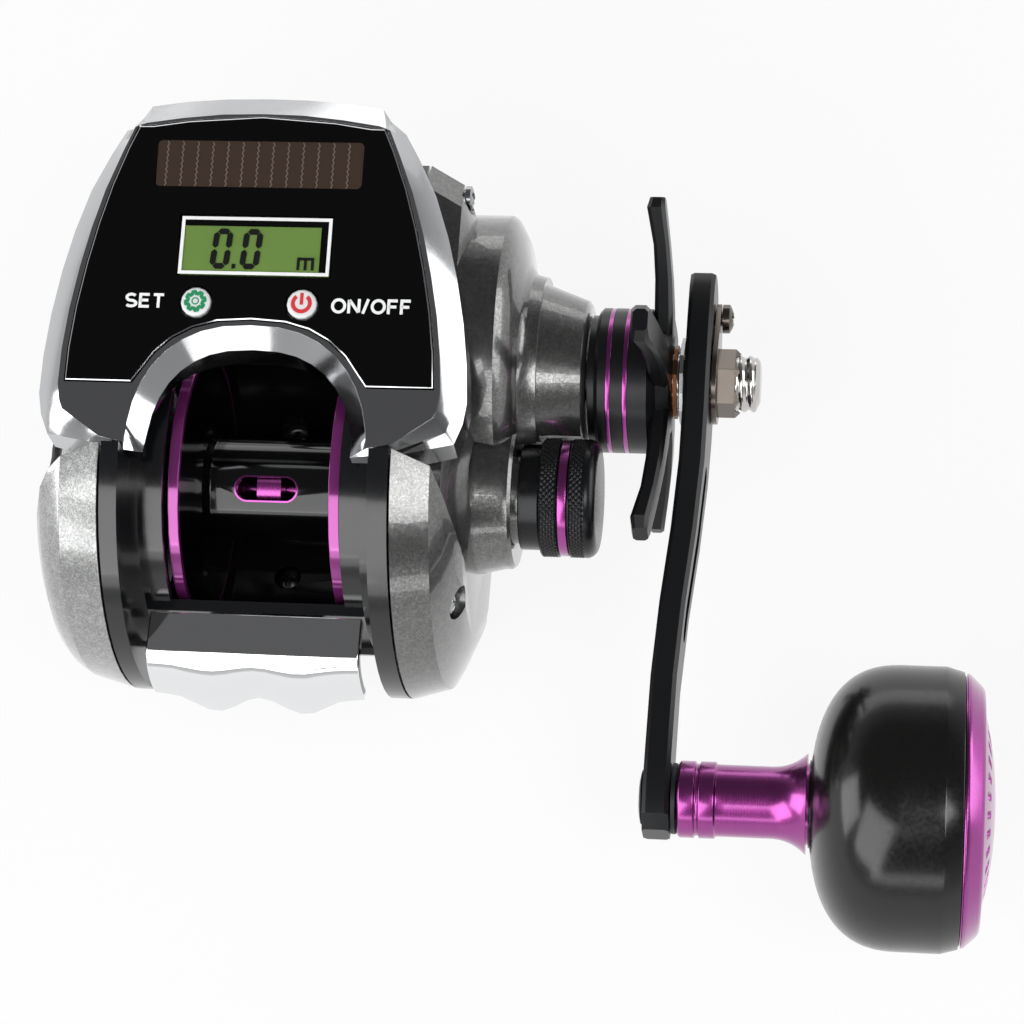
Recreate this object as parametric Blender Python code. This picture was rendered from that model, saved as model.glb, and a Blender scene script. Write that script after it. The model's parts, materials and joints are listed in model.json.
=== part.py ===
"""Low-profile baitcasting reel with a digital line counter, modelled piece by piece.

Frame of the model: metres, +Z up, +X towards the handle side, +Y towards the rod tip.
The origin is the middle of the reel foot's flat underside.
Most sizes below are given in the spool frame, whose x, y, z start on the spool's axis.
"""
import math

import bmesh
import bpy
from mathutils import Matrix, Vector

for old in list(bpy.data.objects):
    bpy.data.objects.remove(old, do_unlink=True)

MM = 0.001
RAD = math.pi / 180

# Clearances shared by all pieces
SEAT = 0.3 * MM          # between two pieces that rest on each other
RUN = 0.3 * MM           # round a piece that turns or slides
SLIM = 0.15 * MM         # between the thin pieces of a stack
OVER = 1.0 * MM          # how far a cut runs past the face it opens
BURY = 0.5 * MM          # how far a joined shape reaches into its neighbour

# Where the spool's axis stands behind the foot's middle, and where the other axes lie from it
AXIS_Y = -8.0 * MM
SHAFT_Y, SHAFT_Z = 17.4 * MM, -1.5 * MM
WORM_Y, WORM_Z = 30.6 * MM, -4.2 * MM

# Spool
SPOOL_HALF = 10.9 * MM
SPOOL_R = 17.5 * MM
RIM_W = 1.4 * MM
ARBOR_R = 6.7 * MM
ARBOR_HALF = 8.5 * MM
ARBOR_WALL = 1.3 * MM
HUB_R = 4.6 * MM
HUB_OUT = 1.3 * MM
SPOOL_SHAFT_R, SHAFT_THIN_R = 1.5 * MM, 1.1 * MM
TIE_SLOT_L, TIE_SLOT_W = 7.9 * MM, 3.0 * MM
TIE_SLOT_X = -0.6 * MM
TIE_SLOT_TURN = 112 * RAD
FILLET, RIM_STEP, FLANGE_LEAN = 0.6 * MM, 0.9 * MM, 0.9 * MM
HUB_COLLAR_R, HUB_COLLAR_HALF = 4.9 * MM, 1.6 * MM

# Frame: side plates with a lip round each spool flange, a trough, bars and a bridge
PLATE_R = 26.5 * MM
LIP_R, LIP_T = 19.3 * MM, 2.7 * MM
STEP_R = 20.8 * MM
STEP_T_LEFT, BAND_T_LEFT = 1.2 * MM, 2.2 * MM
STEP_T_RIGHT, BAND_T_RIGHT = 2.0 * MM, 2.5 * MM
FLANGE_POCKET_R = 17.9 * MM
FLANGE_POCKET_T = 2.2 * MM
TROUGH_R, TROUGH_T = 19.2 * MM, 2.0 * MM
BASE_ROOM_SHARE = 1.4 / 5.3   # of the room between the trough and the plates' radius
BASE_DROP = TROUGH_R + TROUGH_T + BASE_ROOM_SHARE * (PLATE_R - TROUGH_R - TROUGH_T)
BASE_FRONT = 15.0 * MM
NOSE_Y, NOSE_Z = 39.0 * MM, 8.0 * MM
NOSE_START = 13.0 * MM
NOSE_CUT_Y, NOSE_CUT_Z = 4.5 * MM, 3.2 * MM
NOSE_DRAW_SHARE = 1.5
LEG_Y = -4.9 * MM
BRIDGE_CLEAR = 0.45 * MM
BRIDGE_DROP = 4.6 * MM
FRONT_BAR_Y, FRONT_BAR_Z, FRONT_BAR_R = 26.6 * MM, 15.4 * MM, 1.9 * MM
TOP_BAR_W, TOP_BAR_Z = 3.6 * MM, 16.0 * MM

# Display housing
DECK_Z = 23.5 * MM
DECK_SLOPE = math.tan(8 * RAD)
UNDER_Z = 17.0 * MM
UNDER_SLOPE = math.tan(4 * RAD)
POD_HALF = 25.8 * MM
POD_LEN = 46.9 * MM
POD_REAR = -4.6 * MM
POD_FRONT = POD_REAR + POD_LEN
POD_LEAN = 1.2 * MM       # how far the front lies to the left of the rear
REAR_NOTCH = 3.4 * MM
ARCH_HALF = 13.0 * MM
ARCH_DEPTH_SHARE = 13.8 / 46.9
ARCH_DEPTH = ARCH_DEPTH_SHARE * POD_LEN
ARCH_BEVEL, ARCH_DROP = 2.1 * MM, 2.4 * MM
EDGE_BEVEL, EDGE_DROP = 1.8 * MM, 1.3 * MM
FRONT_BEVEL, FRONT_DROP = 3.4 * MM, 2.7 * MM
LEDGE_OUT, LEDGE_DROP = 1.2 * MM, 1.3 * MM
REAR_BEVEL = 0.7 * MM
POD_WALL = 1.8 * MM
DECK_T = 2.2 * MM

# Glass panel, its cells and its buttons; their places are shares of the housing's length
PANEL_PLACE_SHARE, BUTTON_PLACE_SHARE, LCD_PLACE_SHARE = 8.5 / 46.9, 18.7 / 46.9, 26.1 / 46.9
CAVITY_PLACE_SHARE = 19.2 / 46.9
PANEL_T = 0.9 * MM
PANEL_PROUD = 0.15 * MM
PANEL_REAR = POD_REAR + PANEL_PLACE_SHARE * POD_LEN
PANEL_MARGIN, PANEL_FRONT_MARGIN = 1.0 * MM, 0.6 * MM
SOLAR_HALF, SOLAR_W, SOLAR_BACK = 13.2 * MM, 6.1 * MM, 10.1 * MM
SOLAR_Y = POD_FRONT - SOLAR_BACK
SOLAR_T = 0.8 * MM
LCD_HALF, LCD_W = 9.5 * MM, 7.4 * MM
LCD_Y = POD_REAR + LCD_PLACE_SHARE * POD_LEN
LCD_T = 3.6 * MM
BUTTON_HALF, BUTTON_MID = 6.7 * MM, -0.4 * MM
BUTTON_Y = POD_REAR + BUTTON_PLACE_SHARE * POD_LEN
BUTTON_R = 1.9 * MM
BUTTON_EDGE, BUTTON_STEM = 0.25 * MM, 0.6 * MM
BUTTON_PROUD = 0.5 * MM
BOARD_T = 0.8 * MM
BOARD_DROP = 3.9 * MM
CELL_R, CELL_T = 5.0 * MM, 2.0 * MM
CELL_BACK = 12.8 * MM
CELL_Y = POD_FRONT - CELL_BACK
POD_FLOOR_T = 1.2 * MM
CAVITY_REAR = POD_REAR + CAVITY_PLACE_SHARE * POD_LEN

# Side covers
COVER_LEFT_T = 9.8 * MM
CREASE_LEFT, CREASE_RIGHT = 5.2 * MM, 4.6 * MM
COVER_RIGHT_T = 7.7 * MM
CASE_CLEAR = 0.6 * MM
CASE_T = 12.5 * MM
CASE_WALL, CASE_SHIFT = 1.45 * MM, 2.0 * MM
CASE_SLOPE = 2.3 * MM
CASE_STEP = 0.4 * MM
COVER_CREASE_IN, COVER_ROUND = 1.4 * MM, 6.5 * MM
LEFT_CAVITY = 4.6 * MM
CONE_R, CONE_TIP_R = 12.4 * MM, 10.2 * MM
CONE_L = 5.8 * MM
CASE_RING_R = 13.7 * MM
CASE_RING_L = 2.3 * MM
CAST_BOSS_R, CAST_BOSS_END = 9.4 * MM, 31.2 * MM
CAST_NECK_R, CAST_NECK_L = 6.1 * MM, 5.4 * MM

# Bearings: outer radius, and width
BEARING_R, BEARING_W = 4.0 * MM, 2.0 * MM
SHAFT_BEARING_R, SHAFT_BEARING_W = 5.0 * MM, 2.0 * MM
CLUTCH_BEARING_R, CLUTCH_BEARING_W = 7.2 * MM, 6.0 * MM
OUTER_BEARING_W = 3.0 * MM

# Gear train
GEAR_TEETH, PINION_TEETH = 63, 10
LW_DRIVE_TEETH, LW_WORM_TEETH = 40, 20
PRESSURE = 25 * RAD
BACKLASH = 0.12 * MM
ADDENDUM_SHARE, DEDENDUM_SHARE = 0.80, 1.12
GEAR_W, PINION_W, LW_GEAR_W = 3.0 * MM, 6.0 * MM, 1.6 * MM
SLEEVE_R = 2.5 * MM
YOKE_NECK_R = 1.95 * MM
YOKE_T, YOKE_HALF, YOKE_W = 0.9 * MM, 9.6 * MM, 5.6 * MM
YOKE_TRAVEL = 1.6 * MM
POST_R, POST_PLACE = 0.8 * MM, 8.0 * MM
CAM_T, CAM_ARM = 0.7 * MM, 2.0 * MM
DRIVE_PIN_R, DRIVE_PIN_HALF = 0.6 * MM, 2.3 * MM
PINION_BEARING_EXTRA = 0.4 * MM
BACKLASH_SKIP_SHARE = 0.15
GEAR_SPARE = 1.5 * MM
DRAG_CUP_R, DRAG_CUP_DEPTH = 10.6 * MM, 1.9 * MM
DRAG_WASHER_T, KEY_WASHER_T = 1.0 * MM, 1.3 * MM

# Drive shaft and what is on it
SHAFT_INNER_R, SHAFT_R = 3.0 * MM, 3.7 * MM
SHAFT_TIP = 2.6 * MM
COLLAR_R, COLLAR_T = 8.5 * MM, 0.9 * MM
CLUTCH_SLEEVE_R, SLEEVE_LIP = 4.9 * MM, 0.6 * MM
TIP_EDGE, SHAFT_FLAT = 0.5 * MM, 0.7 * MM
STAR_HUB_R, STAR_HUB_L = 9.5 * MM, 6.8 * MM
STAR_GROOVE_W, STAR_GROOVE_D = 0.65 * MM, 0.25 * MM
STAR_R, STAR_ROOT_R = 24.0 * MM, 7.4 * MM
STAR_ARM_W, STAR_ARM_T = 5.2 * MM, 2.4 * MM
STAR_DISH = 1.6 * MM
STAR_RAISE = 2.9 * MM
STAR_EDGE_SHARE = 0.22
STAR_FIRST = 24 * RAD
STAR_ARMS = 5
SPRING_R, SPRING_T, SPRING_CONE = 5.8 * MM, 0.45 * MM, 0.3 * MM
SPACER_R = 4.8 * MM
ARM_T = 3.3 * MM
ARM_TAIL, ARM_REACH, ARM_END = 14.7 * MM, 56.5 * MM, 4.7 * MM
ARM_BEND = 2.2 * MM
ARM_HALF, ARM_EDGE = 6.3 * MM, 0.5 * MM
ARM_SLOT_W = 3.0 * MM
ARM_SLOT_SHARES = (0.212, 0.637)
NUT_FLAT, NUT_T = 3.9 * MM, 3.6 * MM
KEEPER_RIM = 0.9 * MM
PLATE_T = 0.7 * MM
RETAINER_HEAD_R, RETAINER_HEAD_T, RETAINER_R = 1.95 * MM, 1.5 * MM, 0.9 * MM
RETAINER_PLACE = 9.3 * MM

# Handle knob
KNOB_PIN_R = 2.4 * MM
KNOB_PIN_HEAD_R, KNOB_PIN_HEAD_T = 3.4 * MM, 0.4 * MM
STEM_R, STEM_COLLAR_R, STEM_L = 4.45 * MM, 4.75 * MM, 16.1 * MM
STEM_CORE_R, STEM_CORE_L = 5.0 * MM, 13.4 * MM
BALL_R, BALL_L = 17.5 * MM, 18.5 * MM
RING_L = 2.2 * MM
CAP_R = 12.4 * MM
CAP_DOME = 1.6 * MM
KNOB_BEARING_R, KNOB_BEARING_W = 3.6 * MM, 2.2 * MM
KNOB_WASHER_T = 0.6 * MM
STEM_GROOVE = 0.3 * MM

# Cast-control knob, on the spool's axis
CAST_R, CAST_L = 7.65 * MM, 7.3 * MM
CAST_WAIST_L = 2.35 * MM
CAST_RING_T = 1.2 * MM
CAST_GAP, CAST_EDGE = 3.2 * MM, 0.5 * MM
CAST_SKIRT_T, CAST_SKIRT_L = 0.7 * MM, 2.6 * MM
CAST_RING_DEPTH = 0.9 * MM

# Brake dial in the left cover
DIAL_R, DIAL_T = 9.5 * MM, 2.2 * MM
DIAL_SUNK = 1.4 * MM
DIAL_EDGE, DIAL_SCALLOP, DIAL_GRIP = 0.5 * MM, 0.35 * MM, 2.6 * MM
MAGNET_PLATE_R, MAGNET_PLATE_T = 13.5 * MM, 1.6 * MM
HUB_BOSS_R = 5.7 * MM
MAGNETS, MAGNET_R, MAGNET_H = 6, 2.2 * MM, 0.9 * MM

# Thumb bar
BAR_HALF = 13.6 * MM
BAR_FRONT, BAR_TOP = -19.75 * MM, 6.6 * MM
BAR_FLAT, BAR_PAD_Y, BAR_PAD_Z, BAR_T = 4.5 * MM, 4.6 * MM, 9.0 * MM, 1.5 * MM
TONGUE_L, TONGUE_T, TONGUE_HALF = 11.0 * MM, 1.2 * MM, 7.5 * MM
BAR_WAVES, BAR_WAVE_SHARE, BAR_WING_SHARE = 2.4, 0.13, 0.85

# Level wind
WORM_R, WORM_DEPTH, WORM_HALF = 2.6 * MM, 0.7 * MM, 11.6 * MM
WORM_JOURNAL_R = 1.6 * MM
WORM_TURNS = 3
TUBE_R, TUBE_T = 3.0 * MM, 0.8 * MM
GUIDE_HALF, GUIDE_T = 3.4 * MM, 1.5 * MM
GUIDE_TRAVEL = 9.0 * MM
EYE_R, EYE_BORE, EYE_W = 3.1 * MM, 2.15 * MM, 2.4 * MM
EYE_Z = 5.2 * MM
PAWL_R = 1.15 * MM
WORM_GROOVE = 0.85 * MM
TUBE_OPEN = 32 * RAD
PAWL_HOUSE_L = 2.6 * MM
EYE_LIP = 0.35 * MM

# Foot and screws
FOOT_L, FOOT_W, FOOT_T = 58.0 * MM, 15.0 * MM, 2.6 * MM
FOOT_EDGE_SHARE = 0.3
AXIS_Z = BASE_DROP + SEAT + FOOT_T
FOOT_SCREW_X = -1.8 * MM
FOOT_SCREW_Y = (-5.2 * MM, 13.7 * MM)
SCREW_HEAD_R, SCREW_HEAD_T, SCREW_R = 1.55 * MM, 1.0 * MM, 1.0 * MM
SCREW_RECESS = 1.3 * MM
COVER_SCREW_R, COVER_SCREW_HEAD_R, COVER_SCREW_HEAD_T = 1.0 * MM, 1.6 * MM, 1.1 * MM
COVER_SCREW_ROOM, COVER_SCREW_GRIP = 0.6 * MM, 2.2 * MM
NOSE_SCREW = (35.4 * MM, 14.6 * MM, 4.3 * MM)
REAR_SCREW_IN, BASE_SCREW_IN, BASE_SCREW_UP = 8.7 * MM, 14.5 * MM, 6.6 * MM
REAR_SCREW = (REAR_SCREW_IN - PLATE_R, 8.2 * MM, 5.3 * MM)
BASE_SCREW = (BASE_SCREW_IN - PLATE_R, BASE_SCREW_UP - BASE_DROP, 5.3 * MM)
COVER_SCREWS = (("nose", NOSE_SCREW), ("rear", REAR_SCREW), ("base", BASE_SCREW))

# Faces along X that the pieces share
LEFT_LIP = -(SPOOL_HALF + SEAT)
LEFT_STEP = LEFT_LIP - LIP_T
LEFT_BAND = LEFT_STEP - STEP_T_LEFT
LEFT_OUT = LEFT_BAND - BAND_T_LEFT
RIGHT_LIP = SPOOL_HALF + SEAT
RIGHT_STEP = RIGHT_LIP + LIP_T
RIGHT_BAND = RIGHT_STEP + STEP_T_RIGHT
RIGHT_OUT = RIGHT_BAND + BAND_T_RIGHT
COVER_LEFT_IN = LEFT_OUT - SEAT
COVER_LEFT_OUT = COVER_LEFT_IN - COVER_LEFT_T
COVER_RIGHT_IN = RIGHT_OUT + SEAT
COVER_RIGHT_OUT = COVER_RIGHT_IN + COVER_RIGHT_T
CASE_OUT = COVER_RIGHT_IN + CASE_T
CASE_RING_OUT = CASE_OUT + CASE_RING_L
CASE_END = CASE_RING_OUT + CONE_L
CAST_NECK_END = CAST_BOSS_END + CAST_NECK_L
CAST_START = CAST_BOSS_END + CAST_GAP

DRIVE_DIST = math.hypot(SHAFT_Y, SHAFT_Z)
DRIVE_DIR = math.atan2(-SHAFT_Z, -SHAFT_Y)
MODULE = 2 * DRIVE_DIST / (GEAR_TEETH + PINION_TEETH)
GEAR_ROOM_R = MODULE * (GEAR_TEETH / 2 + ADDENDUM_SHARE) + CASE_CLEAR
CASE_R = GEAR_ROOM_R + CASE_WALL + CASE_SHIFT
LW_DIST = math.hypot(WORM_Y - SHAFT_Y, WORM_Z - SHAFT_Z)
LW_DIR = math.atan2(WORM_Z - SHAFT_Z, WORM_Y - SHAFT_Y)
LW_MODULE = 2 * LW_DIST / (LW_DRIVE_TEETH + LW_WORM_TEETH)
CAM_FACE = RIGHT_OUT + SEAT
YOKE_FACE = CAM_FACE + CAM_T + SEAT * 2
PINION_FACE = YOKE_FACE + YOKE_T + SEAT * 2
GEAR_FACE = PINION_FACE + BURY + YOKE_TRAVEL + RUN
PINION_ROOM_END = PINION_FACE + PINION_W + YOKE_TRAVEL + RUN
RIGHT_BEARING_X = PINION_ROOM_END + OVER + SEAT
LW_ROOM_R = LW_MODULE * (LW_WORM_TEETH / 2 + ADDENDUM_SHARE) + RUN * 2
PINION_ROOM_R = MODULE * (PINION_TEETH / 2 + 1) + RUN * 3

# How finely round pieces are divided
FINE, ROUND, SMALL, TINY = 36, 24, 14, 8
LAST_STEP = 2 * math.pi * (FINE - 1) / FINE


def srgb(hex_code):
    """A hex colour as linear red, green, blue and alpha."""
    out = []
    for k in (0, 2, 4):
        c = int(hex_code[k:k + 2], 16) / 255
        out.append(c / 12.92 if c <= 0.04045 else ((c + 0.055) / 1.055) ** 2.4)
    return (*out, 1.0)


def material(name, hex_code, metallic, roughness):
    mat = bpy.data.materials.new(name)
    mat.use_nodes = True
    shader = mat.node_tree.nodes["Principled BSDF"]
    shader.inputs["Base Color"].default_value = srgb(hex_code)
    shader.inputs["Metallic"].default_value = metallic
    shader.inputs["Roughness"].default_value = roughness
    mat.diffuse_color = srgb(hex_code)
    return mat


# Axes: one empty for each, all under one at the spool's axis
def empty(name, place, parent=None):
    ob = bpy.data.objects.new(name, None)
    bpy.context.scene.collection.objects.link(ob)
    ob.empty_display_size = SPOOL_HALF
    ob.location = place
    ob.parent = parent
    return ob


ROOT = empty("spool_axis", (0, AXIS_Y, AXIS_Z))
PIVOTS = {
    "spool": Vector((0, 0, 0)),
    "shaft": Vector((0, SHAFT_Y, SHAFT_Z)),
    "worm": Vector((0, WORM_Y, WORM_Z)),
    "knob": Vector((0, SHAFT_Y - ARM_REACH, SHAFT_Z)),
}
AXES = {"spool": ROOT}
for key in ("shaft", "worm"):
    AXES[key] = empty(key + "_axis", PIVOTS[key], ROOT)
AXES["knob"] = empty("knob_axis", PIVOTS["knob"] - PIVOTS["shaft"], AXES["shaft"])


def to_object(name, verts, faces, mat=None, axis="spool"):
    """A closed body from points in the spool frame, hung on one of the axes."""
    pivot = PIVOTS[axis]
    mesh = bpy.data.meshes.new(name)
    bm = bmesh.new()
    made = [bm.verts.new(Vector(v) - pivot) for v in verts]
    for face in faces:
        bm.faces.new([made[k] for k in face])
    bmesh.ops.recalc_face_normals(bm, faces=bm.faces)
    bm.to_mesh(mesh)
    bm.free()
    mesh.shade_smooth()
    mesh.set_sharp_from_angle(angle=35 * RAD)
    ob = bpy.data.objects.new(name, mesh)
    bpy.context.scene.collection.objects.link(ob)
    ob.parent = AXES[axis]
    if mat is None:
        ob.display_type = "WIRE"
        ob.hide_render = True
    else:
        mesh.materials.append(mat)
    return ob


def combine(ob, tool, how):
    mod = ob.modifiers.new(tool.name, "BOOLEAN")
    mod.operation = how
    mod.solver = "EXACT"
    mod.object = tool
    tool.display_type = "WIRE"
    tool.hide_render = True
    return ob


def cut(ob, *tools):
    for tool in tools:
        combine(ob, tool, "DIFFERENCE")
    return ob


def join(ob, *tools):
    for tool in tools:
        combine(ob, tool, "UNION")
    return ob


def frame_of(direction):
    """A turn that lays +X along a direction."""
    return Vector((1, 0, 0)).rotation_difference(Vector(direction)).to_matrix().to_4x4()


def lathe(profile, centre=(0, 0), count=ROUND, closed=False, place=None, phase=0.0):
    """Turns (x, radius) points round the X axis through centre, or round a placed axis."""
    verts, rings = [], []
    for x, r in profile:
        ring = []
        steps = 1 if r <= 0 else count
        for k in range(steps):
            a = phase + 2 * math.pi * k / count
            ring.append(len(verts))
            verts.append(Vector((x, r * math.cos(a), r * math.sin(a))))
        rings.append(ring)
    faces = []
    pairs = list(zip(rings, rings[1:]))
    if closed:
        pairs.append((rings[-1], rings[0]))
    for a, b in pairs:
        for k in range(count):
            n = (k + 1) % count
            if len(a) == 1 and len(b) == 1:
                continue
            if len(a) == 1:
                faces.append([a[0], b[n], b[k]])
            elif len(b) == 1:
                faces.append([a[k], a[n], b[0]])
            else:
                faces.append([a[k], a[n], b[n], b[k]])
    if not closed:
        for ring in (rings[0], rings[-1]):
            if len(ring) > 1:
                faces.append(list(ring))
    if place is None:
        place = Matrix.Translation(Vector((0, centre[0], centre[1])))
    return [place @ v for v in verts], faces


def loft(sections, wrap=False):
    """Skins rings of equally many points; the two end rings are filled unless it wraps."""
    count = len(sections[0])
    verts = [Vector(p) for ring in sections for p in ring]
    faces = []
    last = len(sections) if wrap else len(sections) - 1
    for s in range(last):
        a, b = s * count, ((s + 1) % len(sections)) * count
        for k in range(count):
            n = (k + 1) % count
            faces.append([a + k, a + n, b + n, b + k])
    if not wrap:
        faces.append(list(range(count)))
        faces.append(list(range((len(sections) - 1) * count, len(sections) * count)))
    return verts, faces


def prism(outline, x0, x1):
    """A (y, z) outline drawn out along X."""
    return loft([[(x, y, z) for y, z in outline] for x in (x0, x1)])


def arc(cy, cz, r, a0, a1, steps):
    return [(cy + r * math.cos(a0 + (a1 - a0) * k / steps),
             cz + r * math.sin(a0 + (a1 - a0) * k / steps)) for k in range(steps + 1)]


def box(x0, x1, y0, y1, z0, z1):
    return prism([(y0, z0), (y1, z0), (y1, z1), (y0, z1)], x0, x1)


def inset(outline, distance):
    """Moves a counter-clockwise outline inwards; distance is one value or one per point."""
    count = len(outline)
    out = []
    for k in range(count):
        d = distance[k] if isinstance(distance, (list, tuple)) else distance
        p, q, r = outline[k - 1], outline[k], outline[(k + 1) % count]
        a = Vector((q[0] - p[0], q[1] - p[1])).normalized()
        b = Vector((r[0] - q[0], r[1] - q[1])).normalized()
        na, nb = Vector((-a.y, a.x)), Vector((-b.y, b.x))
        mid = (na + nb).normalized()
        reach = d / max(mid.dot(na), 0.5)
        out.append((q[0] + mid.x * reach, q[1] + mid.y * reach))
    return out


def bezier(p0, p1, p2, p3, steps):
    out = []
    for k in range(steps + 1):
        t = k / steps
        s = 1 - t
        w = (s ** 3, 3 * s * s * t, 3 * s * t * t, t ** 3)
        out.append(tuple(sum(wi * p[c] for wi, p in zip(w, (p0, p1, p2, p3)))
                         for c in (0, 1)))
    return out


def blend(table, at):
    """A smooth value from a table of (place, value), eased between its rows."""
    for (a, va), (b, vb) in zip(table, table[1:]):
        if at <= b:
            t = min(max((at - a) / (b - a), 0.0), 1.0)
            return va + (vb - va) * t
    return table[-1][1]


def deck(y):
    return DECK_Z + (y - POD_REAR) * DECK_SLOPE


def under(y):
    return UNDER_Z + (y - POD_REAR) * UNDER_SLOPE


def gear_outline(teeth, module, turn, centre, fine=True):
    """Involute teeth: each flank by its root, pitch and tip radius; a tooth points along turn."""
    pitch = module * teeth / 2
    base = pitch * math.cos(PRESSURE)
    root = pitch - module * DEDENDUM_SHARE
    tip = pitch + module * ADDENDUM_SHARE
    half = (math.pi * module / 2 - BACKLASH) / 2 / pitch

    def involute(r):
        a = math.acos(min(base / r, 1.0))
        return math.tan(a) - a

    radii = (max(base, root), pitch, tip) if fine else (root, tip)
    if fine and base - root > module * BACKLASH_SKIP_SHARE:
        radii = (root,) + radii
    spans = [half + involute(pitch) - involute(max(r, base)) for r in radii]
    points = []
    for k in range(teeth):
        mid = turn + 2 * math.pi * k / teeth
        flank = list(zip(radii, spans))
        for r, s in flank:
            points.append((centre[0] + r * math.cos(mid - s), centre[1] + r * math.sin(mid - s)))
        for r, s in reversed(flank):
            points.append((centre[0] + r * math.cos(mid + s), centre[1] + r * math.sin(mid + s)))
    return points


def ring_profile(x0, x1, bore, r):
    return [(x0, bore), (x0, r), (x1, r), (x1, bore)]


# Materials
BLACK_GLOSS = material("black_gloss", "17181A", 0.2, 0.18)
BLACK_SATIN = material("black_satin", "1B1C1D", 0.3, 0.35)
SILVER_PAINT = material("silver_paint", "A9ABAA", 0.6, 0.35)
GREY_PAINT = material("grey_paint", "6F706F", 0.6, 0.35)
DARK_CHROME = material("dark_chrome", "5C5E5D", 0.9, 0.15)
CHROME = material("chrome", "D9DADB", 1.0, 0.06)
GLASS_BLACK = material("glass_black", "0A0A0C", 0.0, 0.05)
SOLAR_BROWN = material("solar_brown", "463A35", 0.2, 0.3)
LCD_GREEN = material("lcd_green", "6F9445", 0.0, 0.25)
BOARD_GREEN = material("board_green", "1F5A33", 0.1, 0.5)
BUTTON_WHITE = material("button_white", "EDEEEE", 0.0, 0.35)
MAGENTA = material("magenta_anodised", "A5329B", 0.9, 0.25)
STEEL = material("steel", "B4B5B7", 1.0, 0.25)
BRASS = material("brass", "B48A4A", 1.0, 0.3)
COPPER = material("copper", "B5743F", 1.0, 0.3)
CARBON = material("carbon_fibre", "202020", 0.0, 0.6)

# Side outline: round at the rear about the spool, flat under, a nose at the front
def side_outline(d=0.0):
    """Counter-clockwise (y, z) points, from the front under the display housing, drawn in by d."""
    r, leg, nose, base = PLATE_R - d, LEG_Y - d, NOSE_Y - d * NOSE_DRAW_SHARE, BASE_DROP - d
    back = nose - NOSE_CUT_Y
    points = [(nose, under(nose) - SEAT - d - NOSE_CUT_Z), (back, under(back) - SEAT - d),
              (leg, under(leg) - SEAT - d)]
    points += arc(0, 0, r, math.acos(leg / r), math.pi + math.asin(base / r), 22)
    points += bezier((NOSE_START, -base), (nose - (NOSE_Y - NOSE_START) / 3, -base),
                     (nose, d - NOSE_START), (nose, NOSE_Z - d / 2), 8)
    return points


SIDE = side_outline()


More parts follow.
